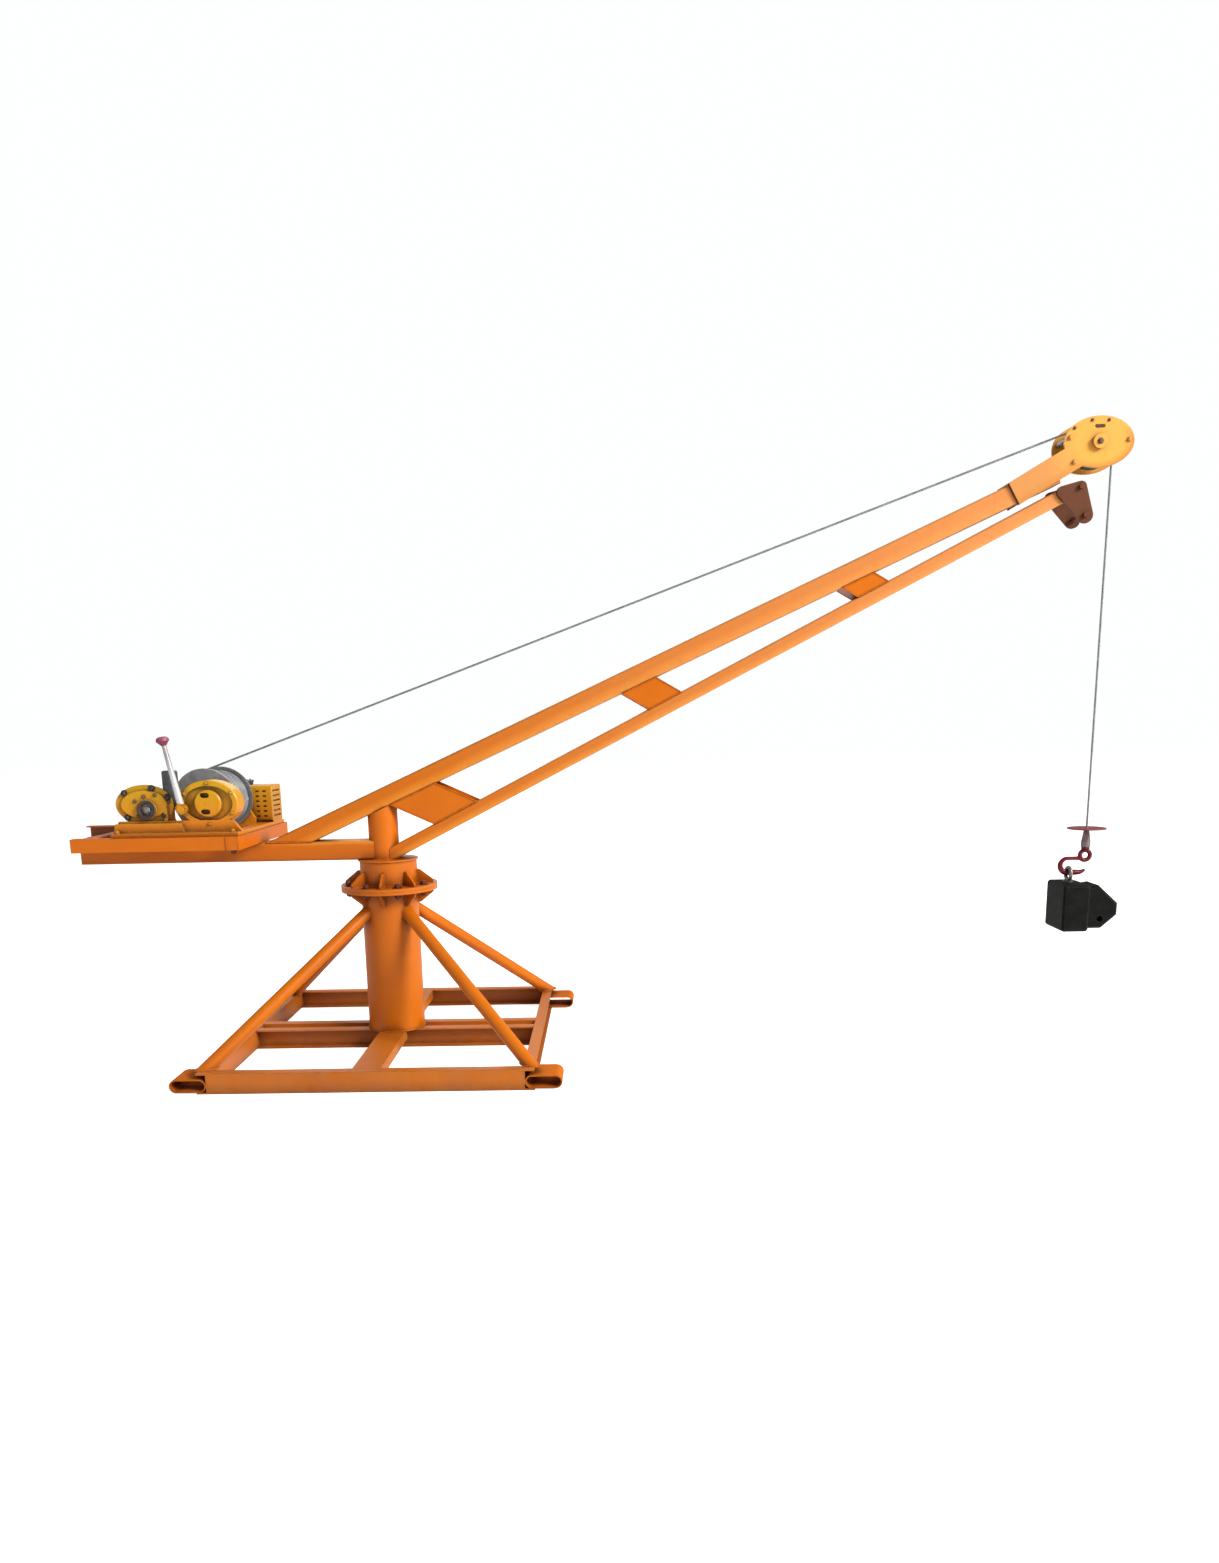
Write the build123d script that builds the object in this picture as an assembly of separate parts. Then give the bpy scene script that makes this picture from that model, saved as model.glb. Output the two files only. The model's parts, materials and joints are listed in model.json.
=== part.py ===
from build123d import *
import math
import os

# A small slewing construction crane: a square channel base, a braced pipe column,
# and a turning arm with a hand-braked electric winch behind and a sheave at its tip.
# Millimetres, +Z up, origin on the ground under the column's axis, arm along +X.

# Base frame
RAIL_DEPTH = 75.0
RAIL_FLANGE = 40.0
RAIL_WALL = 6.0
BASE_SPAN = 1100.0
BASE_LENGTH = 1200.0
MIDDLE_GAP = 54.0
TIE_WIDTH = 100.0
SLEEVE_WIDTH = 130.0
SLEEVE_HEIGHT = 48.0
SLEEVE_LENGTH = 120.0
SLEEVE_WALL = 5.0

# Column
COLUMN_OD = 219.0
COLUMN_WALL = 6.0
FLANGE_OD = 370.0
FLANGE_THICK = 12.0
FLANGE_JOINT_Z = 634.0
GUSSET_HEIGHT = 52.0
GUSSET_REACH = 62.0
GUSSET_THICK = 8.0
GUSSET_COUNT = 8
BRACE_OD = 48.3
BRACE_WALL = 4.0
BRACE_TOP_Z = 540.0
BRACE_FOOT_INSET = 60.0

# Slewing joint
SLEW_DISC_OD = 230.0
SLEW_DISC_THICK = 6.0
SLEW_GAP = 0.3
SLEW_PIN_OD = 80.0
SLEW_PIN_BORE_R = 20.0
SLEW_PIN_SPARE = 10.0
SLEW_NUT_OD = 110.0
SLEW_NUT_HEIGHT = 16.0
BEARING_HEIGHT = 22.0
RUNNING_CLEARANCE = 0.05
END_CLEARANCE = 5.0

# Turning arm
SPINE_BOTTOM_Z = 744.0
SPINE_DEPTH = 73.0
ARM_WIDTH = 100.0
ARM_WALL = 5.0
SPINE_BACK_X = -1180.0
POST_OD = 114.0
POST_WALL = 6.0
POST_X = -12.0
TOP_CHORD_DEPTH = 72.0
TOP_CHORD_RISE = 0.4434
TOP_CHORD_TOP_Z = 1018.0
LOW_CHORD_DEPTH = 50.0
LOW_CHORD_RISE = 0.500
LOW_CHORD_BOTTOM_Z = 723.5
CHORD_CORNER = 8.0
TOP_CHORD_START_X = -700.0
TOP_CHORD_END_X = 2470.0
LOW_CHORD_START_X = -100.0
LOW_CHORD_END_X = 2500.0
BATTEN_SKEW = -0.59
BATTEN_WALL = 6.0
GUSSET_PLATE_THICK = 8.0
GUSSET_LEFT_X = 30.0
GUSSET_RIGHT_X = 205.0
GUSSET_SKEW = -0.46
BATTEN_X = (917.0, 1722.0)
BATTEN_LENGTH = (126.0, 113.0)

# Head
SHEAVE_X = 2607.0
SHEAVE_DROP = 1.0
ROPE_D = 8.0
SHEAVE_ROPE_R = 72.0
SHEAVE_RIM_R = 80.0
SHEAVE_WIDTH = 30.0
SHEAVE_HUB_R = 30.0
SHEAVE_WEB = 8.0
SHEAVE_HOLES = 6
SHEAVE_HOLE_R = 9.0
SHEAVE_RIM_DEPTH = 10.0
SHEAVE_LIP = 3.0
AXLE_R = 14.0
CHEEK_HALF_X = 122.0
CHEEK_HALF_Z = 86.0
CHEEK_THICK = 8.0
CHEEK_ARM_WIDTH = 84.0
CHEEK_LAP = 150.0
AXLE_NUT_R = 24.0
AXLE_NUT_THICK = 12.0
CHEEK_SLOT_LENGTH = 36.0
CHEEK_SLOT_WIDTH = 12.0
CHEEK_SLOT_RISE = 52.0
SPACER_R = 8.0
SPACER_PLACES = ((-103.0, 15.0), (103.0, 5.0), (-84.0, -66.0))
BRACKET_THICK = 8.0
BRACKET_FOOT_R = 28.0
BRACKET_HEAD_R = 20.0
BRACKET_REACH = 74.0
BRACKET_DROP = 44.0
BRACKET_RISE = 52.0
BRACKET_PIN_R = 9.0
BRACKET_PIN_SPARE = 9.0

# Platform
PLATFORM_FRONT_X = -1090.0
PLATFORM_BACK_X = -1300.0
PLATFORM_END_X = -480.0
PLATFORM_WIDTH = 600.0
PLATFORM_DEPTH = 50.0
PLATFORM_FLANGE = 40.0
PLATFORM_WALL = 5.0
CROSS_X = (-1060.0, -900.0)

# Winch
DRUM_X = -660.0
DRUM_Z = 985.0
ROPE_LEAD_R = 112.0
DRUM_FLANGE_R = 120.0
DRUM_BARREL_R = 76.0
DRUM_HALF = 95.0
DRUM_FLANGE_THICK = 8.0
SHAFT_R = 22.0
SHAFT_INTO_CASE = 20.0
BED_BACK_X = -950.0
BED_HALF_Y = 275.0
BED_THICK = 14.0
BED_WALL_HEIGHT = 56.0
BED_WALL_THICK = 16.0
BED_STEP_X = -690.0
BED_STEP = 12.0
BED_RIM = 50.0
CASE_FRONT_Y = -235.0
CASE_BACK_Y = -165.0
CASE_FLANGE_THICK = 14.0
CASE_COVER_RISE = 9.0
CASE_EDGE = 4.0
WHEEL_X = -598.0
WHEEL_Z = 983.0
WHEEL_HALF_X = 110.0
WHEEL_HALF_Z = 84.0
WHEEL_RIM = 20.0
WHEEL_DISH = 12.0
BOSS_R = 50.0
BOSS_RISE = 5.0
BOSS_SLOT_LENGTH = 34.0
BOSS_SLOT_WIDTH = 18.0
BOSS_SLOT_RISE = 30.0
GEAR_CASE_X = -835.0
GEAR_CASE_Z = 983.0
GEAR_CASE_HALF_X = 107.0
GEAR_CASE_HALF_Z = 72.0
HUB_X = -822.0
HUB_Z = 965.0
HUB_R = 36.0
HUB_RISE = 8.0
HUB_POCKET_R = 24.0
RIB_X = -757.0
RIB_THICK = 14.0
RIB_HEIGHT = 90.0
CLUTCH_X = -743.0
CLUTCH_LENGTH = 42.0
CLUTCH_WIDTH = 44.0
CLUTCH_TOP_Z = 1104.0
BACK_FRAME_THICK = 16.0
FRAME_FOOT_WIDTH = 240.0
FRAME_FOOT_HEIGHT = 20.0
FRAME_HEAD_R = 60.0
LEVER_X = -687.0
LEVER_Z = 966.0
LEVER_TILT = 10.8
LEVER_LENGTH = 232.0
LEVER_HUB_R = 19.0
LEVER_THICK = 26.0
LEVER_GAP = 8.0
LEVER_ROOT_R = 13.0
LEVER_TOP_R = 8.0
LEVER_PIN_R = 9.0
LEVER_WASHER_R = 14.0
LEVER_WASHER_THICK = 3.0
KNOB_R = 23.0
KNOB_HEIGHT = 32.0
MOTOR_Y = 195.0
MOTOR_R = 62.0
MOTOR_BARREL_R = 52.0
MOTOR_FINS = 28
MOTOR_FIN_THICK = 3.0
MOTOR_BELL = 24.0
MOTOR_BACK_X = -790.0
MOTOR_FOOT_LENGTH = 160.0
MOTOR_FOOT_WIDTH = 90.0
COWL_START_X = -575.0
COWL_WIDTH = 126.0
COWL_HEIGHT = 146.0
COWL_CORNER = 14.0
COWL_SLOTS = 6
COWL_SLOT_WIDTH = 7.0
COWL_SLOT_DEPTH = 6.0
COWL_END_SLOT_LENGTH = 88.0
COWL_SIDE_SLOT_LENGTH = 14.0
TERMINAL_LENGTH = 84.0
TERMINAL_WIDTH = 66.0
TERMINAL_HEIGHT = 40.0
TERMINAL_LID = 10.0
TERMINAL_EDGE = 6.0

# Hook and load
STOP_DISC_R = 69.0
STOP_DISC_THICK = 5.0
SOCKET_TOP_Z = 804.0
SOCKET_BOTTOM_Z = 736.0
SOCKET_TOP_R = 9.0
SOCKET_BOTTOM_R = 17.0
SOCKET_SKIRT = 20.0
SWIVEL_R = 8.0
SWIVEL_DEPTH = 34.0
SWIVEL_COLLAR_R = 15.0
SWIVEL_COLLAR_HEIGHT = 7.0
SWIVEL_GAP = 2.0
RING_R = 19.0
RING_WIRE_R = 8.0
HOOK_R = 27.0
HOOK_SHANK = 53.0
HOOK_LIP = 40.0
HOOK_LIP_TURN = 35.0
HOOK_WIRE_R = 11.0
HOOK_TIP_R = 6.0
EYE_R = 24.0
EYE_WIRE_R = 7.0
EYE_NECK_R = 20.0
SEAT_GAP = 0.3
WEIGHT_NECK = 8.0
WEIGHT_HEIGHT = 180.0
WEIGHT_BOX_LENGTH = 100.0
WEIGHT_BOX_WIDTH = 170.0
WEIGHT_EDGE = 8.0
WEIGHT_NOSE_LENGTH = 116.0
WEIGHT_NOSE_WIDTH = 120.0
WEIGHT_HOLE_R = 12.0

# Places worked out from the sizes above
rail_mid_z = RAIL_DEPTH / 2
half_span = BASE_SPAN / 2
half_length = BASE_LENGTH / 2
spine_top_z = SPINE_BOTTOM_Z + SPINE_DEPTH
half_arm = ARM_WIDTH / 2
platform_top_z = spine_top_z + PLATFORM_DEPTH
pipe_top_z = SPINE_BOTTOM_Z - SLEW_DISC_THICK - SLEW_GAP
hang_x = SHEAVE_X + SHEAVE_ROPE_R
platform_low_z = spine_top_z
beyond = 2 * SHEAVE_X
brace_foot_x = half_span + RAIL_FLANGE / 2
brace_foot_y = half_length - BRACE_FOOT_INSET


def along(profile, start, end, up=(0, 0, 1)):
    """Carry a flat profile from start to end, its own Y axis kept towards up."""
    run = Vector(end) - Vector(start)
    side = Vector(up).cross(run)
    plane = Plane(origin=start, x_dir=side, z_dir=run)
    return extrude(plane * profile, run.length)


def channel(depth, flange, wall, facing=1):
    """A channel section with its web's back at x = 0 and its flanges towards facing."""
    outer = Rectangle(flange, depth, align=(Align.MIN, Align.CENTER))
    hollow = Rectangle(flange, depth - 2 * wall, align=(Align.MIN, Align.CENTER))
    section = outer - Pos(wall, 0) * hollow
    return section if facing > 0 else Rot(0, 0, 180) * section


def box_section(width, depth, wall, corner):
    """A hollow rectangular section with rounded corners."""
    outer = RectangleRounded(width, depth, corner)
    inner = RectangleRounded(width - 2 * wall, depth - 2 * wall, corner - wall + 1)
    return outer - inner


def pipe(outer_r, inner_r, low, high, x=0.0):
    """An upright pipe or ring between two heights."""
    ring = Circle(outer_r) - Circle(inner_r)
    return extrude(Pos(x, 0, low) * ring, high - low)


def bar(radius, low, high, x):
    """An upright round bar between two heights."""
    return extrude(Pos(x, 0, low) * Circle(radius), high - low)


def at_four_corners(piece):
    """The piece and its three mirror images about the column's axis."""
    row = [piece, mirror(piece, Plane.YZ)]
    return Compound(children=row + [mirror(each, Plane.XZ) for each in row])


def disc_y(radius, near, far, x, z):
    """A round bar along Y between two Y values."""
    plane = Plane(origin=(x, near, z), x_dir=(1, 0, 0), z_dir=(0, 1, 0))
    return extrude(plane * Circle(radius), far - near)


def plate_y(points, near, far):
    """A flat plate with an outline of X, Z points, between two Y values."""
    face = Plane.XZ * make_face(Polyline(*points, close=True))
    return extrude(Pos(0, near, 0) * face, -(far - near))


def top_edge(x):
    """Height of the top chord's upper edge."""
    return TOP_CHORD_TOP_Z + TOP_CHORD_RISE * x


def top_chord_underside(x):
    """Height of the top chord's lower edge."""
    return top_edge(x) - TOP_CHORD_DEPTH * math.hypot(1, TOP_CHORD_RISE)


def low_edge(x):
    """Height of the bottom chord's lower edge."""
    return LOW_CHORD_BOTTOM_Z + LOW_CHORD_RISE * x


def low_chord_upper(x):
    """Height of the bottom chord's upper edge."""
    return low_edge(x) + LOW_CHORD_DEPTH * math.hypot(1, LOW_CHORD_RISE)


sheave_z = top_edge(SHEAVE_X) - SHEAVE_DROP
parts = {}

# Base frame: two side channels open outwards, with end and middle channels between
side_run = ((-half_span, -half_length, rail_mid_z), (-half_span, half_length, rail_mid_z))
rail_section = channel(RAIL_DEPTH, RAIL_FLANGE, RAIL_WALL)
parts["left_rail"] = along(rail_section, *side_run)
parts["right_rail"] = mirror(parts["left_rail"], Plane.YZ)
parts["front_rail"] = along(
    rail_section, (-half_span, -half_length, rail_mid_z), (half_span, -half_length, rail_mid_z)
)
parts["back_rail"] = mirror(parts["front_rail"], Plane.XZ)
middle_section = channel(RAIL_DEPTH, RAIL_FLANGE, RAIL_WALL, facing=-1)
middle_y = MIDDLE_GAP / 2
parts["middle_beam_front"] = along(
    middle_section, (-half_span, -middle_y, rail_mid_z), (half_span, -middle_y, rail_mid_z)
)
parts["middle_beam_back"] = mirror(parts["middle_beam_front"], Plane.XZ)
tie_near = half_length - RAIL_FLANGE
tie_far = middle_y + RAIL_FLANGE
tie_section = channel(TIE_WIDTH, RAIL_FLANGE, RAIL_WALL, facing=-1)
tie = along(tie_section, (0, -tie_near, RAIL_DEPTH), (0, -tie_far, RAIL_DEPTH), up=(1, 0, 0))
parts["base_ties"] = Compound(children=[tie, mirror(tie, Plane.XZ)])

# Batten plates that hold the two middle beams together under the column
seat_plate = Box(COLUMN_OD, MIDDLE_GAP, RAIL_WALL, align=(Align.CENTER, Align.CENTER, Align.MIN))
parts["column_seat_plates"] = Compound(children=[
    seat_plate, Pos(0, 0, RAIL_DEPTH - RAIL_WALL) * seat_plate
])

# Corner sleeves: flattened tubes in the mouths of the side channels
sleeve_outer = SlotOverall(SLEEVE_WIDTH, SLEEVE_HEIGHT)
sleeve_inner = SlotOverall(SLEEVE_WIDTH - 2 * SLEEVE_WALL, SLEEVE_HEIGHT - 2 * SLEEVE_WALL)
sleeve_x = half_span + RAIL_WALL + SLEEVE_WIDTH / 2
sleeve_z = RAIL_WALL + SLEEVE_HEIGHT / 2
sleeve = along(
    sleeve_outer - sleeve_inner,
    (-sleeve_x, -half_length, sleeve_z),
    (-sleeve_x, -half_length + SLEEVE_LENGTH, sleeve_z),
)
parts["corner_sleeves"] = at_four_corners(sleeve)

# Column pipe on the middle beams, and its bolted flange pair
column_r = COLUMN_OD / 2
low_flange_z = FLANGE_JOINT_Z - FLANGE_THICK
high_flange_z = FLANGE_JOINT_Z + FLANGE_THICK
parts["column_pipe"] = pipe(column_r, column_r - COLUMN_WALL, RAIL_DEPTH, low_flange_z)
parts["lower_flange"] = pipe(
    FLANGE_OD / 2, column_r - COLUMN_WALL, low_flange_z, FLANGE_JOINT_Z
)
parts["upper_flange"] = pipe(
    FLANGE_OD / 2, column_r - COLUMN_WALL, FLANGE_JOINT_Z, high_flange_z
)
parts["upper_pipe"] = pipe(column_r, column_r - COLUMN_WALL, high_flange_z, pipe_top_z)


def gusset_ring(seat_z, direction):
    """Triangular ribs round the pipe, standing on a flange face."""
    tip = GUSSET_THICK * 1.5
    outline = [
        (column_r, seat_z),
        (column_r + GUSSET_REACH, seat_z),
        (column_r + GUSSET_REACH, seat_z + direction * tip),
        (column_r + tip, seat_z + direction * GUSSET_HEIGHT),
        (column_r, seat_z + direction * GUSSET_HEIGHT),
    ]
    rib = plate_y(outline, -GUSSET_THICK / 2, GUSSET_THICK / 2)
    rib -= Cylinder(column_r, 4 * GUSSET_HEIGHT + 2 * seat_z)
    turns = [Rot(0, 0, 360 / GUSSET_COUNT * step) * rib for step in range(GUSSET_COUNT)]
    return Compound(children=turns)


parts["lower_gussets"] = gusset_ring(low_flange_z, -1)
parts["upper_gussets"] = gusset_ring(high_flange_z, 1)

# Four pipe braces from the column down to the corners
brace_ring = Circle(BRACE_OD / 2) - Circle(BRACE_OD / 2 - BRACE_WALL)
foot_distance = math.hypot(brace_foot_x, brace_foot_y)
brace_rise = (BRACE_TOP_Z - RAIL_DEPTH) / (foot_distance - column_r)
overrun = 1.1
brace = along(
    brace_ring,
    (0, 0, RAIL_DEPTH + brace_rise * foot_distance),
    (-overrun * brace_foot_x, -overrun * brace_foot_y,
     RAIL_DEPTH + (1 - overrun) * brace_rise * foot_distance),
)
brace -= Cylinder(column_r, 4 * BRACE_TOP_Z)
brace -= Pos(0, 0, RAIL_DEPTH) * Box(
    beyond, beyond, beyond, align=(Align.CENTER, Align.CENTER, Align.MAX)
)
parts["column_braces"] = at_four_corners(brace)

# Slewing joint: a bearing ring in the pipe's top, and a disc with its pin above
pin_r = SLEW_PIN_OD / 2
parts["bearing_ring"] = pipe(
    column_r - COLUMN_WALL, pin_r + RUNNING_CLEARANCE, pipe_top_z - BEARING_HEIGHT, pipe_top_z
)
parts["slew_disc"] = pipe(SLEW_DISC_OD / 2, pin_r, pipe_top_z + SLEW_GAP, SPINE_BOTTOM_Z)
nut_top_z = pipe_top_z - BEARING_HEIGHT - END_CLEARANCE
nut_low_z = nut_top_z - SLEW_NUT_HEIGHT
slew_pin = pipe(pin_r, SLEW_PIN_BORE_R, nut_low_z - SLEW_PIN_SPARE, SPINE_BOTTOM_Z)
parts["slew_pin"] = slew_pin + pipe(SLEW_NUT_OD / 2, SLEW_PIN_BORE_R, nut_low_z, nut_top_z)

# Post: the pipe that carries the arm over the slewing joint
post_r = POST_OD / 2
post_top_z = top_edge(POST_X + post_r)
post_solid = bar(post_r, SPINE_BOTTOM_Z, post_top_z, POST_X)
above_underside = plate_y(
    [(-beyond, top_chord_underside(-beyond)), (beyond, top_chord_underside(beyond)),
     (beyond, 2 * beyond), (-beyond, 2 * beyond)],
    -beyond, beyond,
)
post = pipe(post_r, post_r - POST_WALL, SPINE_BOTTOM_Z, post_top_z, x=POST_X)
parts["post"] = post - above_underside

# Spine: a box beam along the bottom, from behind the winch to the post
spine_section = box_section(ARM_WIDTH, SPINE_DEPTH, ARM_WALL, CHORD_CORNER)
spine_mid_z = SPINE_BOTTOM_Z + SPINE_DEPTH / 2
parts["spine_beam"] = along(
    spine_section, (SPINE_BACK_X, 0, spine_mid_z), (POST_X, 0, spine_mid_z)
) - post_solid

# Chords: two box beams that rise to the head and draw together
top_section = box_section(ARM_WIDTH, TOP_CHORD_DEPTH, ARM_WALL, CHORD_CORNER)
top_drop = TOP_CHORD_DEPTH / 2 * math.hypot(1, TOP_CHORD_RISE)
top_chord = along(
    top_section,
    (TOP_CHORD_START_X, 0, top_edge(TOP_CHORD_START_X) - top_drop),
    (TOP_CHORD_END_X, 0, top_edge(TOP_CHORD_END_X) - top_drop),
)
below_spine_top = Pos(0, 0, spine_top_z) * Box(
    beyond, beyond, beyond, align=(Align.CENTER, Align.CENTER, Align.MAX)
)
parts["top_chord"] = top_chord - below_spine_top
low_section = box_section(ARM_WIDTH, LOW_CHORD_DEPTH, ARM_WALL, CHORD_CORNER)
low_rise = LOW_CHORD_DEPTH / 2 * math.hypot(1, LOW_CHORD_RISE)
low_chord = along(
    low_section,
    (LOW_CHORD_START_X, 0, low_edge(LOW_CHORD_START_X) + low_rise),
    (LOW_CHORD_END_X, 0, low_edge(LOW_CHORD_END_X) + low_rise),
)
below_spine = Pos(0, 0, SPINE_BOTTOM_Z) * Box(
    beyond, beyond, beyond, align=(Align.CENTER, Align.CENTER, Align.MAX)
)
left_of_post = Pos(POST_X, 0, 0) * Box(
    beyond, beyond, beyond, align=(Align.MAX, Align.CENTER, Align.CENTER)
)
low_chord -= below_spine
low_chord -= left_of_post
low_chord -= post_solid
parts["bottom_chord"] = low_chord


def between_chords(left_x, right_x, skew, near, far):
    """A plate between the chords, its ends slanted by skew: mm along X for each mm down."""

    def crossing(x, edge):
        """Where a slanted end through x on the top chord's underside meets an edge."""
        start_z = top_chord_underside(x)
        rise = LOW_CHORD_RISE
        meet = (edge(0) - start_z + skew * x) / (skew - rise)
        return (meet, edge(meet))

    outline = [
        (left_x, top_chord_underside(left_x)),
        (right_x, top_chord_underside(right_x)),
        crossing(right_x, low_chord_upper),
        crossing(left_x, low_chord_upper),
    ]
    return plate_y(outline, near, far)


# Gusset plates on both faces of the chords beside the post
gusset_front = between_chords(
    GUSSET_LEFT_X, GUSSET_RIGHT_X, GUSSET_SKEW, -half_arm, -half_arm + GUSSET_PLATE_THICK
)
gusset_front -= post_solid
parts["gusset_plates"] = Compound(children=[gusset_front, mirror(gusset_front, Plane.XZ)])

# Battens: short channels across the chords, web to the front
battens = []
for left_x, length in zip(BATTEN_X, BATTEN_LENGTH):
    right_x = left_x + length
    block = between_chords(left_x, right_x, BATTEN_SKEW, -half_arm, half_arm)
    pocket = between_chords(
        left_x + BATTEN_WALL, right_x - BATTEN_WALL, BATTEN_SKEW, -half_arm + BATTEN_WALL, beyond
    )
    battens.append(block - pocket)
parts["boom_battens"] = Compound(children=battens)

# Head: two oval cheeks lapped on the top chord, with the sheave between
lap_x = TOP_CHORD_END_X - CHEEK_LAP
lap_start = Vector(lap_x, 0, top_edge(lap_x) - top_drop)
cheek_plane = Plane(origin=(0, -half_arm, 0), x_dir=(1, 0, 0), z_dir=(0, -1, 0))
oval = Pos(SHEAVE_X, sheave_z) * Ellipse(CHEEK_HALF_X, CHEEK_HALF_Z)
arm_run = Vector(SHEAVE_X, 0, sheave_z) - lap_start
arm_tilt = math.degrees(math.atan2(arm_run.Z, arm_run.X))
arm = Pos(lap_start.X, lap_start.Z) * Rot(0, 0, arm_tilt) * Rectangle(
    arm_run.length, CHEEK_ARM_WIDTH, align=(Align.MIN, Align.CENTER)
)
cheek_outline = oval + arm - Pos(SHEAVE_X, sheave_z) * Circle(AXLE_R)
cheek_outline -= Pos(SHEAVE_X, sheave_z + CHEEK_SLOT_RISE) * SlotOverall(CHEEK_SLOT_LENGTH, CHEEK_SLOT_WIDTH)
parts["cheek_front"] = extrude(cheek_plane * cheek_outline, CHEEK_THICK)
parts["cheek_back"] = mirror(parts["cheek_front"], Plane.XZ)
spacers = [disc_y(SPACER_R, -half_arm, half_arm, SHEAVE_X + x, sheave_z + z) for x, z in SPACER_PLACES]
parts["cheek_spacers"] = Compound(children=spacers)
outer_y = half_arm + CHEEK_THICK
nut_y = outer_y + AXLE_NUT_THICK
axle = disc_y(AXLE_R, -nut_y, nut_y, SHEAVE_X, sheave_z)
head = disc_y(AXLE_NUT_R, -nut_y, -outer_y, SHEAVE_X, sheave_z)
nut = disc_y(AXLE_NUT_R, outer_y, nut_y, SHEAVE_X, sheave_z)
parts["sheave_axle"] = axle + head + nut

# Sheave: a grooved wheel with a thin web and a long hub
half_sheave = SHEAVE_WIDTH / 2
hub_half = half_arm - END_CLEARANCE
groove_r = SHEAVE_ROPE_R - ROPE_D / 2 - SEAT_GAP
rim_in = groove_r - SHEAVE_RIM_DEPTH
bore_r = AXLE_R + RUNNING_CLEARANCE
half_web = SHEAVE_WEB / 2
lip = half_sheave - SHEAVE_LIP
sheave_profile = make_face(Polyline(
    (bore_r, -hub_half), (SHEAVE_HUB_R, -hub_half), (SHEAVE_HUB_R, -half_web), (rim_in, -half_web),
    (rim_in, -half_sheave), (SHEAVE_RIM_R, -half_sheave), (SHEAVE_RIM_R, -lip),
    (groove_r, -ROPE_D / 2), (groove_r, ROPE_D / 2),
    (SHEAVE_RIM_R, lip), (SHEAVE_RIM_R, half_sheave), (rim_in, half_sheave),
    (rim_in, half_web), (SHEAVE_HUB_R, half_web), (SHEAVE_HUB_R, hub_half), (bore_r, hub_half),
    close=True,
))
sheave = revolve(sheave_profile, axis=Axis.Y)
hole_ring_r = (SHEAVE_HUB_R + rim_in) / 2
for step in range(SHEAVE_HOLES):
    hole = disc_y(SHEAVE_HOLE_R, -half_sheave, half_sheave, hole_ring_r, 0)
    sheave -= Rot(0, 360 / SHEAVE_HOLES * step, 0) * hole
parts["head_sheave"] = Pos(SHEAVE_X, 0, sheave_z) * sheave

# Tip bracket: two rounded plates on the end of the bottom chord, joined by two pins
tip_x = LOW_CHORD_END_X
tip_z = low_edge(tip_x)
bracket_pins = (
    (tip_x + BRACKET_REACH, tip_z - BRACKET_DROP),
    (tip_x + BRACKET_REACH - BRACKET_HEAD_R, tip_z + BRACKET_RISE),
)
bracket_corners = [
    Pos(*bracket_pins[0]) * Circle(BRACKET_FOOT_R),
    Pos(*bracket_pins[1]) * Circle(BRACKET_HEAD_R),
    Pos(tip_x - BRACKET_HEAD_R / 2, tip_z + LOW_CHORD_DEPTH * 0.72) * Circle(BRACKET_HEAD_R),
]
bracket_face = make_hull([edge for corner in bracket_corners for edge in corner.edges()])
bracket_plate = extrude(cheek_plane * bracket_face, BRACKET_THICK)
bracket = bracket_plate + mirror(bracket_plate, Plane.XZ)
pin_end = half_arm + BRACKET_THICK + BRACKET_PIN_SPARE
for x, z in bracket_pins:
    bracket += disc_y(BRACKET_PIN_R, -pin_end, pin_end, x, z)
parts["tip_bracket"] = bracket

# Platform: two long channels joined by cross channels that lie on the spine
platform_mid_z = platform_low_z + PLATFORM_DEPTH / 2
half_width = PLATFORM_WIDTH / 2
inner_y = half_width - PLATFORM_FLANGE
platform_section = channel(PLATFORM_DEPTH, PLATFORM_FLANGE, PLATFORM_WALL)
turned_section = channel(PLATFORM_DEPTH, PLATFORM_FLANGE, PLATFORM_WALL, facing=-1)
parts["platform_beam_front"] = along(
    platform_section,
    (PLATFORM_FRONT_X, -half_width, platform_mid_z), (PLATFORM_END_X, -half_width, platform_mid_z),
)
parts["platform_beam_back"] = along(
    turned_section,
    (PLATFORM_BACK_X, half_width, platform_mid_z), (PLATFORM_END_X, half_width, platform_mid_z),
)
cross_beams = [
    along(turned_section, (x, -inner_y, platform_mid_z), (x, inner_y, platform_mid_z)) for x in CROSS_X
]
parts["platform_cross_beams"] = Compound(children=cross_beams)
end_plate = Pos(PLATFORM_END_X, 0, platform_mid_z) * Box(
    PLATFORM_WALL, PLATFORM_WIDTH, PLATFORM_DEPTH, align=(Align.MIN, Align.CENTER, Align.CENTER)
)
end_beam = along(
    platform_section, (PLATFORM_END_X, -inner_y, platform_mid_z), (PLATFORM_END_X, inner_y, platform_mid_z)
)
parts["platform_end_beam"] = end_beam + end_plate

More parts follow.
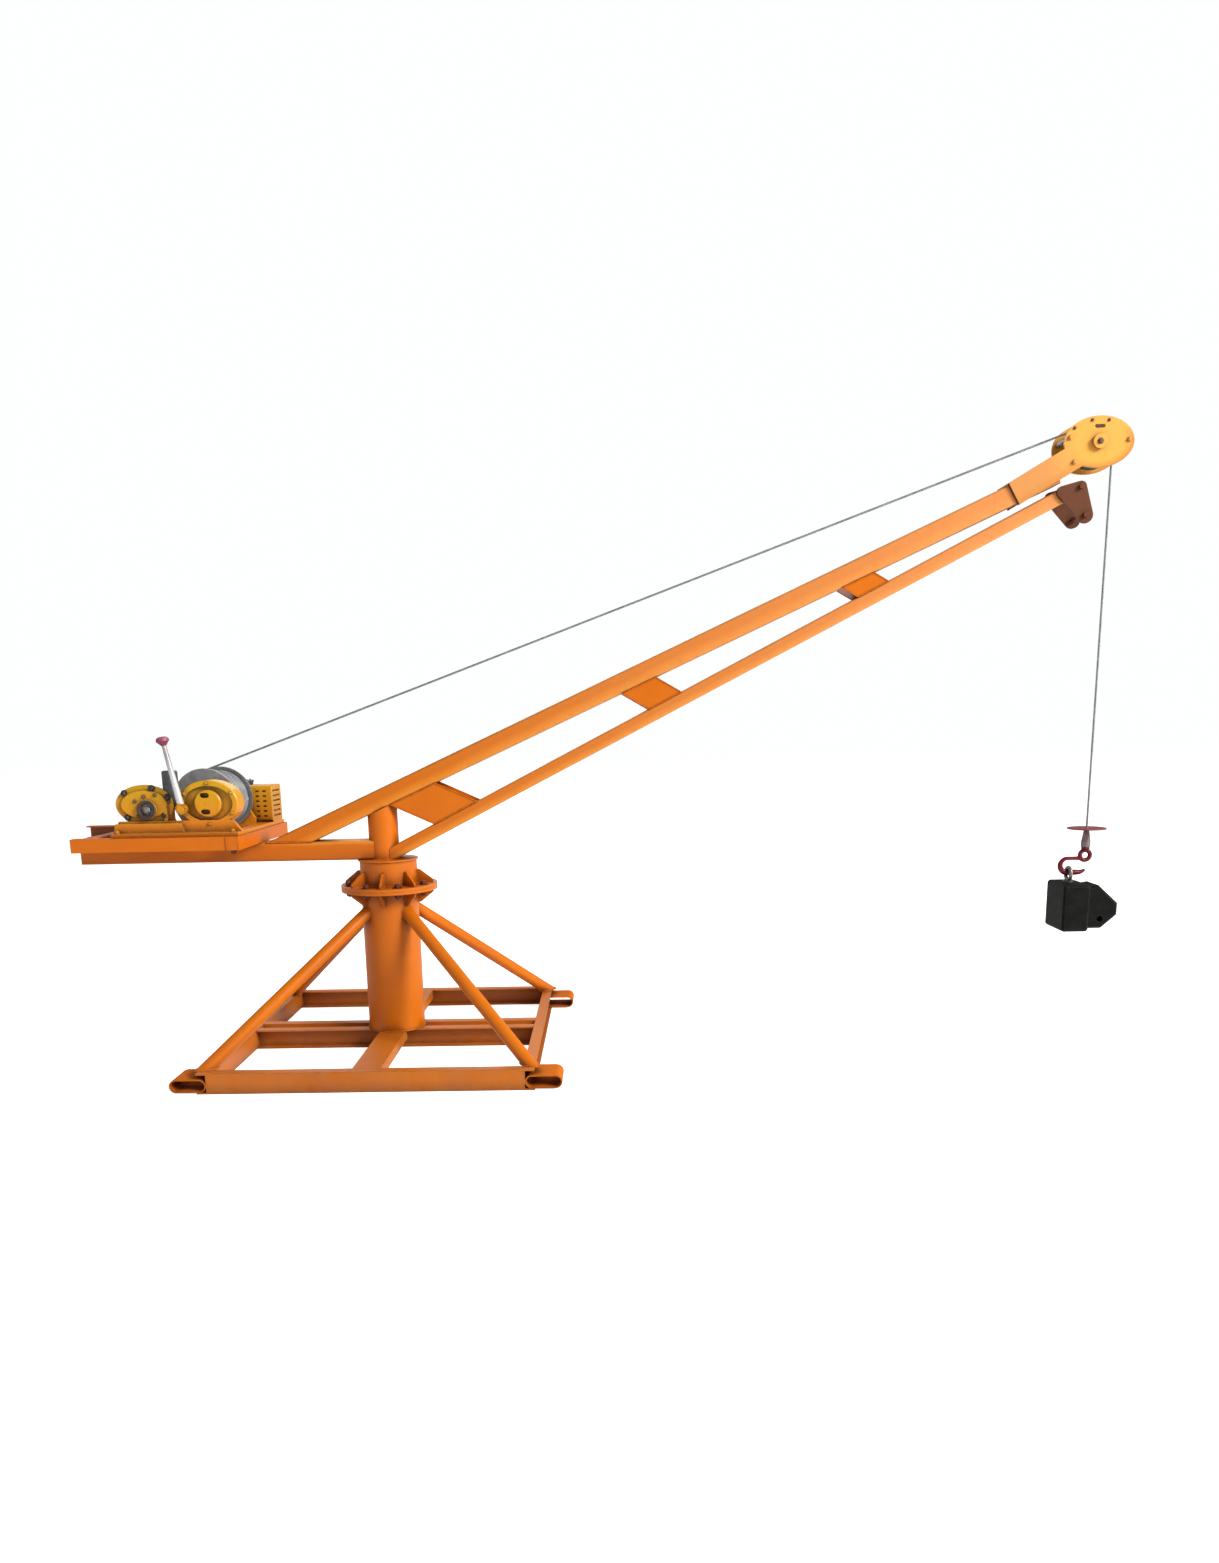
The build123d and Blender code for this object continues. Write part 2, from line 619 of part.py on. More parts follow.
# Winch bed: a cast frame, with a stepped wall along its front
bed_length = PLATFORM_END_X - BED_BACK_X
bed_mid_x = (PLATFORM_END_X + BED_BACK_X) / 2
bed_z = platform_top_z
bed_floor = bed_z + BED_THICK
wall_top = bed_z + BED_WALL_HEIGHT
bed = Pos(bed_mid_x, 0, bed_z) * extrude(Rectangle(bed_length, 2 * BED_HALF_Y), BED_THICK)
bed -= Pos(bed_mid_x, 0, bed_z) * extrude(
    Rectangle(bed_length - 2 * BED_RIM, 2 * (inner_y - BED_RIM)), 2 * BED_THICK
)
wall_back = CASE_FRONT_Y + BED_WALL_THICK
slant = BED_WALL_THICK
bed_wall = plate_y(
    [(BED_BACK_X, bed_floor), (BED_BACK_X + slant, wall_top), (PLATFORM_END_X - 2 * slant, wall_top),
     (PLATFORM_END_X, bed_floor)],
    CASE_FRONT_Y, wall_back,
)
bed_wall += plate_y(
    [(BED_BACK_X, bed_floor), (BED_BACK_X + slant / 2, wall_top - slant / 2),
     (BED_STEP_X - slant / 2, wall_top - slant / 2), (BED_STEP_X, bed_floor)],
    CASE_FRONT_Y - BED_STEP, CASE_FRONT_Y,
)
back_frame_y = DRUM_HALF + END_CLEARANCE
frame_foot = Pos(DRUM_X, back_frame_y, bed_z) * Box(
    FRAME_FOOT_WIDTH, inner_y - back_frame_y, BED_THICK, align=(Align.CENTER, Align.MIN, Align.MIN)
)
parts["winch_bed"] = bed + bed_wall + frame_foot


def casting(face, near, far, edge=0.0):
    """A cast body from its outline of X, Z, with its front edge chamfered."""
    plane = Plane(origin=(0, far, 0), x_dir=(1, 0, 0), z_dir=(0, -1, 0))
    body = extrude(plane * face, far - near)
    return chamfer(body.edges().group_by(Axis.Y)[0], edge) if edge else body


def foot(x, half_width, z):
    """The straight foot of a casting, from its middle height down to the bed."""
    return Pos(x, bed_floor) * Rectangle(
        2 * half_width, z - bed_floor, align=(Align.CENTER, Align.MIN)
    )


# Brake wheel cover: an oval casting with a dished face and a slotted boss
wheel_place = Pos(WHEEL_X, WHEEL_Z)
wheel_face = wheel_place * Ellipse(WHEEL_HALF_X, WHEEL_HALF_Z)
wheel_case = casting(wheel_face, CASE_FRONT_Y, CASE_BACK_Y, CASE_EDGE)
wheel_foot = casting(foot(WHEEL_X, 0.6 * WHEEL_HALF_X, WHEEL_Z), CASE_FRONT_Y + CASE_EDGE, CASE_BACK_Y)
dish_y = CASE_FRONT_Y + WHEEL_DISH
dish = wheel_place * Ellipse(WHEEL_HALF_X - WHEEL_RIM, WHEEL_HALF_Z - WHEEL_RIM)
brake_cover = wheel_case + wheel_foot - casting(dish, CASE_FRONT_Y - BOSS_RISE, dish_y)
boss_y = CASE_FRONT_Y - BOSS_RISE
brake_cover += casting(wheel_place * Circle(BOSS_R), boss_y, dish_y, CASE_EDGE)
for rise in (-BOSS_SLOT_RISE, BOSS_SLOT_RISE):
    boss_slot = Pos(WHEEL_X - BOSS_SLOT_WIDTH / 2, WHEEL_Z + rise) * SlotOverall(
        BOSS_SLOT_LENGTH, BOSS_SLOT_WIDTH
    )
    brake_cover -= casting(boss_slot, boss_y, dish_y)

# Gear case: a body, a bolted flange and a raised cover with a hub and a rib
case_place = Pos(GEAR_CASE_X, GEAR_CASE_Z)
case_body = case_place * Ellipse(GEAR_CASE_HALF_X - WHEEL_DISH, GEAR_CASE_HALF_Z - WHEEL_DISH)
cover_y = CASE_FRONT_Y + CASE_COVER_RISE
flange_y = cover_y + CASE_FLANGE_THICK
gear_case = casting(case_body, cover_y, CASE_BACK_Y)
gear_case += casting(foot(GEAR_CASE_X, 0.7 * GEAR_CASE_HALF_X, GEAR_CASE_Z), flange_y, CASE_BACK_Y)
gear_case += casting(case_place * Ellipse(GEAR_CASE_HALF_X, GEAR_CASE_HALF_Z), cover_y, flange_y)
cover = case_place * Ellipse(GEAR_CASE_HALF_X - WHEEL_RIM, GEAR_CASE_HALF_Z - WHEEL_RIM)
gear_case += casting(cover, CASE_FRONT_Y, cover_y, CASE_EDGE)
hub_y = CASE_FRONT_Y - HUB_RISE
gear_case += casting(Pos(HUB_X, HUB_Z) * Circle(HUB_R), hub_y, CASE_FRONT_Y, CASE_EDGE / 2)
gear_case -= casting(Pos(HUB_X, HUB_Z) * Circle(HUB_POCKET_R), hub_y, CASE_FRONT_Y)
rib = Pos(RIB_X, bed_floor) * Rectangle(RIB_THICK, RIB_HEIGHT, align=(Align.CENTER, Align.MIN))
gear_case += casting(rib, CASE_FRONT_Y, CASE_BACK_Y)
gear_case -= casting(wheel_face, CASE_FRONT_Y, CASE_BACK_Y)
gear_case -= wheel_foot
gear_case -= bed_wall
brake_cover -= bed_wall

# Drum on its shaft, between the castings and the back frame
frame_head = Pos(DRUM_X, DRUM_Z) * Circle(FRAME_HEAD_R)
frame_sole = Pos(DRUM_X, bed_floor) * Rectangle(
    FRAME_FOOT_WIDTH, FRAME_FOOT_HEIGHT, align=(Align.CENTER, Align.MIN)
)
frame_outline = make_hull(frame_head.edges() + frame_sole.edges())
frame_outline -= Pos(DRUM_X, DRUM_Z) * Circle(SHAFT_R + RUNNING_CLEARANCE)
frame_back_y = back_frame_y + BACK_FRAME_THICK
parts["bearing_frame"] = casting(frame_outline, back_frame_y, frame_back_y)
shaft_front = CASE_BACK_Y - SHAFT_INTO_CASE
shaft_bore = disc_y(SHAFT_R + RUNNING_CLEARANCE, shaft_front - SEAT_GAP, 0, DRUM_X, DRUM_Z)
parts["brake_cover"] = brake_cover - shaft_bore
parts["gear_case"] = gear_case - shaft_bore
winding_r = ROPE_LEAD_R - ROPE_D / 2 - SEAT_GAP
inner_half = DRUM_HALF - DRUM_FLANGE_THICK
drum_profile = make_face(Polyline(
    (0, shaft_front), (SHAFT_R, shaft_front), (SHAFT_R, -DRUM_HALF), (DRUM_FLANGE_R, -DRUM_HALF),
    (DRUM_FLANGE_R, -inner_half), (DRUM_BARREL_R, -inner_half), (DRUM_BARREL_R, inner_half),
    (DRUM_FLANGE_R, inner_half), (DRUM_FLANGE_R, DRUM_HALF), (SHAFT_R, DRUM_HALF),
    (SHAFT_R, frame_back_y), (0, frame_back_y), close=True,
))
parts["winch_drum"] = Pos(DRUM_X, 0, DRUM_Z) * revolve(drum_profile, axis=Axis.Y)
turns = int(2 * inner_half / ROPE_D)
winding_start = -turns * ROPE_D / 2
ridge = [(DRUM_BARREL_R, winding_start)]
for turn in range(turns):
    low = winding_start + turn * ROPE_D
    ridge += [
        (winding_r - ROPE_D / 4, low), (winding_r, low + ROPE_D * 0.3), (winding_r, low + ROPE_D * 0.7)
    ]
ridge += [(winding_r - ROPE_D / 4, -winding_start), (DRUM_BARREL_R, -winding_start)]
winding = revolve(make_face(Polyline(*ridge, close=True)), axis=Axis.Y)
parts["rope_winding"] = Pos(DRUM_X, 0, DRUM_Z) * winding

# Clutch block on top of the gear case, beside the lever
clutch_mid_y = (CASE_FRONT_Y + CASE_BACK_Y) / 2
clutch = Pos(CLUTCH_X, clutch_mid_y, GEAR_CASE_Z) * Box(
    CLUTCH_LENGTH, CLUTCH_WIDTH, CLUTCH_TOP_Z - GEAR_CASE_Z, align=(Align.CENTER, Align.CENTER, Align.MIN)
)
clutch = chamfer(clutch.edges().group_by(Axis.Z)[-1], CASE_EDGE)
parts["clutch_block"] = clutch - parts["gear_case"] - parts["brake_cover"]

# Brake lever: a tapered round rod on a hub, with a moulded knob at its end
lever_far = CASE_FRONT_Y - LEVER_GAP
lever_near = lever_far - LEVER_THICK
lever_mid = (lever_far + lever_near) / 2
lever_hub = disc_y(LEVER_HUB_R, lever_near, lever_far, LEVER_X, LEVER_Z)
lever_frame = Pos(LEVER_X, lever_mid, LEVER_Z) * Rot(0, -LEVER_TILT, 0)
lever_rod = lever_frame * Cone(
    LEVER_ROOT_R, LEVER_TOP_R, LEVER_LENGTH, align=(Align.CENTER, Align.CENTER, Align.MIN)
)
lever = lever_hub + lever_rod
lever -= disc_y(LEVER_PIN_R + RUNNING_CLEARANCE, lever_near, lever_far, LEVER_X, LEVER_Z)
parts["brake_lever"] = lever
on_seat = (Align.CENTER, Align.CENTER, Align.MIN)
knob_cap = Cylinder(KNOB_R, KNOB_HEIGHT * 0.55, align=on_seat)
knob_cap = fillet(knob_cap.edges().group_by(Axis.Z)[-1], KNOB_HEIGHT * 0.4)
knob_neck = Cone(KNOB_R * 0.4, KNOB_R * 0.9, KNOB_HEIGHT * 0.45, align=on_seat)
knob = knob_neck + Pos(0, 0, KNOB_HEIGHT * 0.45) * knob_cap
parts["lever_knob"] = lever_frame * Pos(0, 0, LEVER_LENGTH) * knob
washer_near = lever_near - SEAT_GAP - LEVER_WASHER_THICK
parts["lever_pin"] = disc_y(LEVER_PIN_R, washer_near, boss_y + BOSS_RISE, LEVER_X, LEVER_Z) + disc_y(
    LEVER_WASHER_R, washer_near, washer_near + LEVER_WASHER_THICK, LEVER_X, LEVER_Z
)

# Motor at the back right: a finned barrel with an end bell, a slotted cowl and a terminal box
motor_z = bed_floor + COWL_HEIGHT / 2
fin = Pos(MOTOR_R / 2, 0) * Rectangle(MOTOR_R, MOTOR_FIN_THICK)
finned = Circle(MOTOR_BARREL_R)
for step in range(MOTOR_FINS):
    finned += Rot(0, 0, 360 / MOTOR_FINS * (step + 0.5)) * fin
bell_x = MOTOR_BACK_X + MOTOR_BELL
barrel = along(finned, (bell_x, MOTOR_Y, motor_z), (COWL_START_X, MOTOR_Y, motor_z))
bell = along(Circle(MOTOR_R), (MOTOR_BACK_X, MOTOR_Y, motor_z), (bell_x, MOTOR_Y, motor_z))
bell = chamfer(bell.edges().group_by(Axis.X)[0], MOTOR_BELL / 3)
parts["motor_body"] = barrel + bell
cowl_section = RectangleRounded(COWL_WIDTH, COWL_HEIGHT, COWL_CORNER)
cowl = along(cowl_section, (COWL_START_X, MOTOR_Y, motor_z), (PLATFORM_END_X, MOTOR_Y, motor_z))
slot_pitch = (COWL_HEIGHT - 2 * COWL_CORNER) / COWL_SLOTS
cowl_side_y = MOTOR_Y - COWL_WIDTH / 2
slot_columns = (PLATFORM_END_X - 2 * COWL_SIDE_SLOT_LENGTH, PLATFORM_END_X - 4 * COWL_SIDE_SLOT_LENGTH)
for step in range(COWL_SLOTS):
    slot_z = motor_z + (step - (COWL_SLOTS - 1) / 2) * slot_pitch
    cowl -= Pos(PLATFORM_END_X, MOTOR_Y, slot_z) * Box(
        2 * COWL_SLOT_DEPTH, COWL_END_SLOT_LENGTH, COWL_SLOT_WIDTH
    )
    for slot_x in slot_columns:
        cowl -= Pos(slot_x, cowl_side_y, slot_z) * Box(
            COWL_SIDE_SLOT_LENGTH, 2 * COWL_SLOT_DEPTH, COWL_SLOT_WIDTH
        )
parts["motor_cowl"] = cowl
motor_foot = Pos((MOTOR_BACK_X + COWL_START_X) / 2, MOTOR_Y, bed_floor) * Box(
    MOTOR_FOOT_LENGTH, MOTOR_FOOT_WIDTH, motor_z - bed_floor - MOTOR_BARREL_R * 0.7,
    align=(Align.CENTER, Align.CENTER, Align.MIN),
)
parts["motor_foot"] = motor_foot - parts["motor_body"]
terminal_x = COWL_START_X - TERMINAL_LENGTH / 2
terminal = Pos(terminal_x, MOTOR_Y, motor_z + MOTOR_BARREL_R) * Box(
    TERMINAL_LENGTH - TERMINAL_EDGE, TERMINAL_WIDTH - TERMINAL_EDGE, TERMINAL_HEIGHT,
    align=(Align.CENTER, Align.CENTER, Align.MIN),
)
lid = Pos(terminal_x, MOTOR_Y, motor_z + MOTOR_BARREL_R + TERMINAL_HEIGHT - TERMINAL_LID) * Box(
    TERMINAL_LENGTH, TERMINAL_WIDTH, TERMINAL_LID, align=(Align.CENTER, Align.CENTER, Align.MIN)
)
lid = fillet(lid.edges().filter_by(Axis.Z) + lid.edges().group_by(Axis.Z)[-1], TERMINAL_LID * 0.45)
parts["terminal_box"] = terminal + lid - parts["motor_body"]

# Rope: taut from the drum's top over the sheave and down to the socket
lead_angle = math.asin((ROPE_LEAD_R - SHEAVE_ROPE_R) / math.hypot(SHEAVE_X - DRUM_X, sheave_z - DRUM_Z))
slope_angle = math.atan2(sheave_z - DRUM_Z, SHEAVE_X - DRUM_X)
normal = slope_angle - lead_angle + math.pi / 2
drum_point = (DRUM_X + ROPE_LEAD_R * math.cos(normal), 0, DRUM_Z + ROPE_LEAD_R * math.sin(normal))
sheave_point = (SHEAVE_X + SHEAVE_ROPE_R * math.cos(normal), 0, sheave_z + SHEAVE_ROPE_R * math.sin(normal))
rope_section = Circle(ROPE_D / 2)
parts["rope_lead"] = along(rope_section, drum_point, sheave_point)
half_turn = normal / 2
crown = (SHEAVE_X + SHEAVE_ROPE_R * math.cos(half_turn), 0, sheave_z + SHEAVE_ROPE_R * math.sin(half_turn))
leave = (hang_x, 0, sheave_z)
wrap_path = ThreePointArc(sheave_point, crown, leave)
wrap_plane = Plane(origin=sheave_point, x_dir=(0, 1, 0), z_dir=wrap_path % 0)
parts["rope_wrap"] = sweep(wrap_plane * rope_section, path=wrap_path)
parts["rope_fall"] = along(rope_section, (hang_x, 0, SOCKET_TOP_Z), leave, up=(1, 0, 0))

# Load end: stop disc and socket on the rope, then a swivelling hook with its weight
parts["stop_disc"] = pipe(
    STOP_DISC_R, ROPE_D / 2 + SEAT_GAP, SOCKET_TOP_Z, SOCKET_TOP_Z + STOP_DISC_THICK, x=hang_x
)
swivel_bore_r = SWIVEL_R + RUNNING_CLEARANCE
bore_top = SOCKET_BOTTOM_Z + SWIVEL_DEPTH + SWIVEL_GAP
socket_profile = make_face(Polyline(
    (0, SOCKET_TOP_Z), (SOCKET_TOP_R, SOCKET_TOP_Z), (SOCKET_BOTTOM_R, SOCKET_BOTTOM_Z + SOCKET_SKIRT),
    (SOCKET_BOTTOM_R, SOCKET_BOTTOM_Z), (swivel_bore_r, SOCKET_BOTTOM_Z), (swivel_bore_r, bore_top),
    (0, bore_top), close=True,
))
socket = revolve(Plane.XZ * socket_profile, axis=Axis.Z)
parts["rope_socket"] = Pos(hang_x, 0, 0) * socket
collar_top = SOCKET_BOTTOM_Z - SWIVEL_GAP
collar_low = collar_top - SWIVEL_COLLAR_HEIGHT
parts["swivel_collar"] = pipe(SWIVEL_COLLAR_R, SWIVEL_R, collar_low, collar_top, x=hang_x)

# Hook: a forged ring on the swivel stem, then a shank that turns back to a tapered lip
ring_z = collar_low - RING_R - RING_WIRE_R / 2
ring = Pos(hang_x, 0, ring_z) * Rot(90, 0, 0) * Torus(RING_R, RING_WIRE_R)
stem = bar(SWIVEL_R, ring_z + RING_R, SOCKET_BOTTOM_Z + SWIVEL_DEPTH, hang_x)
shank_z = ring_z - RING_R * 0.6
shank_start = (hang_x - RING_R * 0.6, shank_z)
bowl_start = (shank_start[0] - HOOK_SHANK, shank_z)
shank_line = Line(shank_start, bowl_start)
bowl_arc = JernArc(start=bowl_start, tangent=(-1, 0), radius=HOOK_R, arc_size=180)
lip_line = Line(bowl_arc @ 1, (bowl_start[0] + HOOK_LIP, shank_z - 2 * HOOK_R))
lip_arc = JernArc(start=lip_line @ 1, tangent=(1, 0), radius=HOOK_LIP, arc_size=HOOK_LIP_TURN)
hook_path = Wire((Plane.XZ * (shank_line + bowl_arc + lip_line + lip_arc)).edges())
hook_radii = ((0, HOOK_WIRE_R * 0.8), (0.64, HOOK_WIRE_R), (0.78, HOOK_WIRE_R), (1, HOOK_TIP_R))
hook_sections = [Plane(hook_path ^ place) * Circle(radius) for place, radius in hook_radii]
hook_body = sweep(hook_sections, path=hook_path, multisection=True)
hook_tip = Pos(hook_path @ 1) * Sphere(HOOK_TIP_R)
hook = ring + stem + hook_body + hook_tip
hook -= Pos(hang_x, 0, collar_low) * (
    Cylinder(2 * SWIVEL_COLLAR_R, SWIVEL_COLLAR_HEIGHT, align=(Align.CENTER, Align.CENTER, Align.MIN))
    - Cylinder(SWIVEL_R, SWIVEL_COLLAR_HEIGHT, align=(Align.CENTER, Align.CENTER, Align.MIN))
)
parts["hook"] = hook

# Weight: an eye on the hook's bowl, a chamfered block and a faceted nose with a hole
eye_x = bowl_start[0] + 0.15 * HOOK_LIP
bowl_top_z = shank_z - 2 * HOOK_R + HOOK_WIRE_R
eye_top_z = bowl_top_z + SEAT_GAP + EYE_WIRE_R
eye = Pos(eye_x, 0, eye_top_z - EYE_R) * Rot(0, 90, 0) * Torus(EYE_R, EYE_WIRE_R)
neck_top = eye_top_z - 2 * EYE_R
weight_top_z = neck_top - WEIGHT_NECK
parts["weight_eye"] = eye + bar(EYE_NECK_R, weight_top_z, neck_top, eye_x)
box_left = eye_x - WEIGHT_BOX_LENGTH * 0.46
weight_low = weight_top_z - WEIGHT_HEIGHT
block = Pos(box_left, 0, weight_low) * Box(
    WEIGHT_BOX_LENGTH, WEIGHT_BOX_WIDTH, WEIGHT_HEIGHT, align=(Align.MIN, Align.CENTER, Align.MIN)
)
parts["weight_block"] = chamfer(block.edges(), WEIGHT_EDGE)
nose_left = box_left + WEIGHT_BOX_LENGTH
nose_right = nose_left + WEIGHT_NOSE_LENGTH
nose = [
    (nose_left, weight_top_z - 0.07 * WEIGHT_HEIGHT),
    (nose_left + 0.35 * WEIGHT_NOSE_LENGTH, weight_top_z - 0.03 * WEIGHT_HEIGHT),
    (nose_right, weight_top_z - 0.42 * WEIGHT_HEIGHT), (nose_right, weight_low + 0.33 * WEIGHT_HEIGHT),
    (nose_left + 0.5 * WEIGHT_NOSE_LENGTH, weight_low + WEIGHT_EDGE), (nose_left, weight_low + WEIGHT_EDGE),
]
weight_nose = plate_y(nose, -WEIGHT_NOSE_WIDTH / 2, WEIGHT_NOSE_WIDTH / 2)
side_edges = weight_nose.edges().group_by(Axis.Y)[0] + weight_nose.edges().group_by(Axis.Y)[-1]
weight_nose = chamfer([edge for edge in side_edges if edge.center().X > nose_left + 1], WEIGHT_EDGE)
weight_nose -= disc_y(
    WEIGHT_HOLE_R, -WEIGHT_NOSE_WIDTH, WEIGHT_NOSE_WIDTH, nose_left + 0.43 * WEIGHT_NOSE_LENGTH,
    weight_low + 0.25 * WEIGHT_HEIGHT,
)
parts["weight_nose"] = weight_nose

for name, shape in parts.items():
    shape.label = name

os.makedirs("parts", exist_ok=True)
for name, shape in parts.items():
    export_step(shape, "parts/%s.step" % name)
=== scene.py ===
import json
import math

import bmesh
import bpy
import numpy as np
from mathutils import Matrix, Vector


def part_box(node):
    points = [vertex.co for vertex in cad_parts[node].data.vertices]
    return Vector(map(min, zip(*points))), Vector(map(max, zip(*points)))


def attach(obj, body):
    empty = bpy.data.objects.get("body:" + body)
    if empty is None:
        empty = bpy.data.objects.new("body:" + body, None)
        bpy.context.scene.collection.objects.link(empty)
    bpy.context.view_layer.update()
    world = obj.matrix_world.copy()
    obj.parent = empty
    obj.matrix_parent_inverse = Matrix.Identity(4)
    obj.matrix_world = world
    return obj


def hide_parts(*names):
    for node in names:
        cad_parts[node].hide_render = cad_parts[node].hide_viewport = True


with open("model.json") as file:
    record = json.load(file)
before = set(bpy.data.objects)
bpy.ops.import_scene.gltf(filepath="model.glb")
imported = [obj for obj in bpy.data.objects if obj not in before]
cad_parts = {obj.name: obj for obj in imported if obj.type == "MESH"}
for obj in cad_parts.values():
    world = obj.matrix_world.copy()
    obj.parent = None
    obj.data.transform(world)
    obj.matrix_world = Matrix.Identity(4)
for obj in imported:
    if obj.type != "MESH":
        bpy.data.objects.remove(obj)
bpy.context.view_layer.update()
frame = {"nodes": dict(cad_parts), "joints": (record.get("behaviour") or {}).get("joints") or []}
nodes = frame["nodes"]


# The base frame and column: rolled channels and pipes, welded, then sprayed with
# one coat of orange enamel. The paint is cloudy, thin on the edges and dusty low down.
class Wire:
    """A socket in a finish: sums of wires add Math nodes, and node() adds any other node."""

    def __init__(self, tree, socket=None):
        self.tree = tree
        self.socket = socket

    def node(self, kind, settings=None, sockets=None, out=0):
        """Add a node: its settings first, then the values or wires of its sockets."""
        made = self.tree.nodes.new("ShaderNode" + kind)
        for name, value in (settings or {}).items():
            if name == "stops":
                while len(made.color_ramp.elements) < len(value):
                    made.color_ramp.elements.new(1.0)
                for stop, (spot, colour) in zip(made.color_ramp.elements, value):
                    stop.position = spot
                    stop.color = colour
            else:
                setattr(made, name, value)
        for key, value in (sockets or {}).items():
            if isinstance(value, Wire):
                self.tree.links.new(value.socket, made.inputs[key])
            else:
                made.inputs[key].default_value = value
        return Wire(self.tree, made.outputs[out])

    def reckon(self, operation, first, second):
        """Two wires, or a wire and a number, through one Math node."""
        return self.node("Math", {"operation": operation}, {0: first, 1: second})

    def __add__(self, other):
        return self.reckon("ADD", self, other)

    def __sub__(self, other):
        return self.reckon("SUBTRACT", self, other)

    def __rsub__(self, other):
        return self.reckon("SUBTRACT", other, self)

    def __mul__(self, other):
        return self.reckon("MULTIPLY", self, other)

    __radd__ = __add__
    __rmul__ = __mul__

    def held(self):
        """The same number, kept between 0 and 1."""
        return self.node("Math", {"operation": "ADD", "use_clamp": True}, {0: self, 1: 0.0})

    def along(self, axis):
        """One coordinate of this wire: 0 is X and 2 is Z."""
        return self.node("SeparateXYZ", {}, {0: self}, out=axis)

    def noise(self, scale, detail=2.0, roughness=0.5):
        """Fractal noise on this wire's coordinates."""
        sockets = {"Vector": self, "Scale": scale, "Detail": detail, "Roughness": roughness}
        return self.node("TexNoise", {}, sockets)

    def patches(self, start, gain, scale, detail, roughness=0.5):
        """Patches of noise: the noise less a start, times a gain, kept between 0 and 1."""
        return ((self.noise(scale, detail, roughness) - start) * gain).held()

    def stretched(self, x, y, z):
        """These coordinates, scaled along each axis."""
        return self.node("Mapping", {}, {"Vector": self, "Scale": (x, y, z)})

    def blend(self, first, second):
        """The first colour where this wire is 0, and the second where it is 1."""
        return self.node("Mix", {"data_type": "RGBA"}, {0: self, 6: first, 7: second}, out=2)


def tint(red, green, blue):
    """A colour given as 0 to 255 screen values, in the linear values that a shader takes."""
    linear = []
    for share in (red / 255, green / 255, blue / 255):
        linear.append(share / 12.92 if share < 0.04 else ((share + 0.055) / 1.055) ** 2.4)
    return (*linear, 1.0)


def bare_finish(name):
    """An empty finish: its material, its principled shader and a wire of object coordinates."""
    finish = bpy.data.materials.new(name)
    finish.use_nodes = True
    shader = finish.node_tree.nodes["Principled BSDF"]
    place = Wire(finish.node_tree).node("TexCoord", out="Object")
    return finish, shader, place


def plug(shader, name, value):
    """Give a wire or a plain value to one of the shader's sockets."""
    if isinstance(value, Wire):
        value.tree.links.new(value.socket, shader.inputs[name])
    else:
        shader.inputs[name].default_value = value


def relief(shader, height, strength, distance, rounded=None):
    """Bump of a height wire, laid over the rounded normal of worn edges where there is one."""
    sockets = {"Strength": strength, "Distance": distance, "Height": height}
    if rounded is not None:
        sockets["Normal"] = rounded
    plug(shader, "Normal", height.node("Bump", {}, sockets))


def orange_peel(shader, place, rounded):
    """The skin of sprayed paint: fine dimples on slow waves, as two noises added."""
    dimples = place.noise(420.0, 2.0) + place.noise(23.0, 2.0) * 1.6
    relief(shader, dimples, 0.2, 0.0012, rounded)


def rise_over(place, foot, slope, depth):
    """How high a place is over a line, in shares of a depth: (z - foot - slope x) / depth."""
    return (place.along(2) - foot - place.along(0) * slope) * (1 / depth)


def worn_edges(place, radius, share):
    """How bare the edges are: 1 - rounded normal . flat normal, broken up by noise."""
    rounded = place.node("Bevel", {"samples": 4}, {"Radius": radius})
    flat = place.node("NewGeometry", out="True Normal")
    dot = {"operation": "DOT_PRODUCT"}
    agree = place.node("VectorMath", dot, {0: rounded, 1: flat}, out=1)
    patches = (place.noise(38.0, 5.0, 0.65) - 0.5 + share) * 9.0
    return rounded, ((1.0 - agree) * 5.0 * patches.held()).held()


def crevice_shade(place, distance, strength):
    """Painted shade where a place is enclosed: 1 - the open air round it, broken up by noise."""
    air = place.node("AmbientOcclusion", {"samples": 6}, {"Distance": distance}, out="AO")
    return ((1.0 - air) * strength * (place.noise(29.0, 4.0, 0.7) * 0.8 + 0.6)).held()


PEACH_HIGHLIGHT = tint(222, 152, 96)
SITE_DUST = tint(158, 120, 88)
DUST_HEIGHT = 0.22


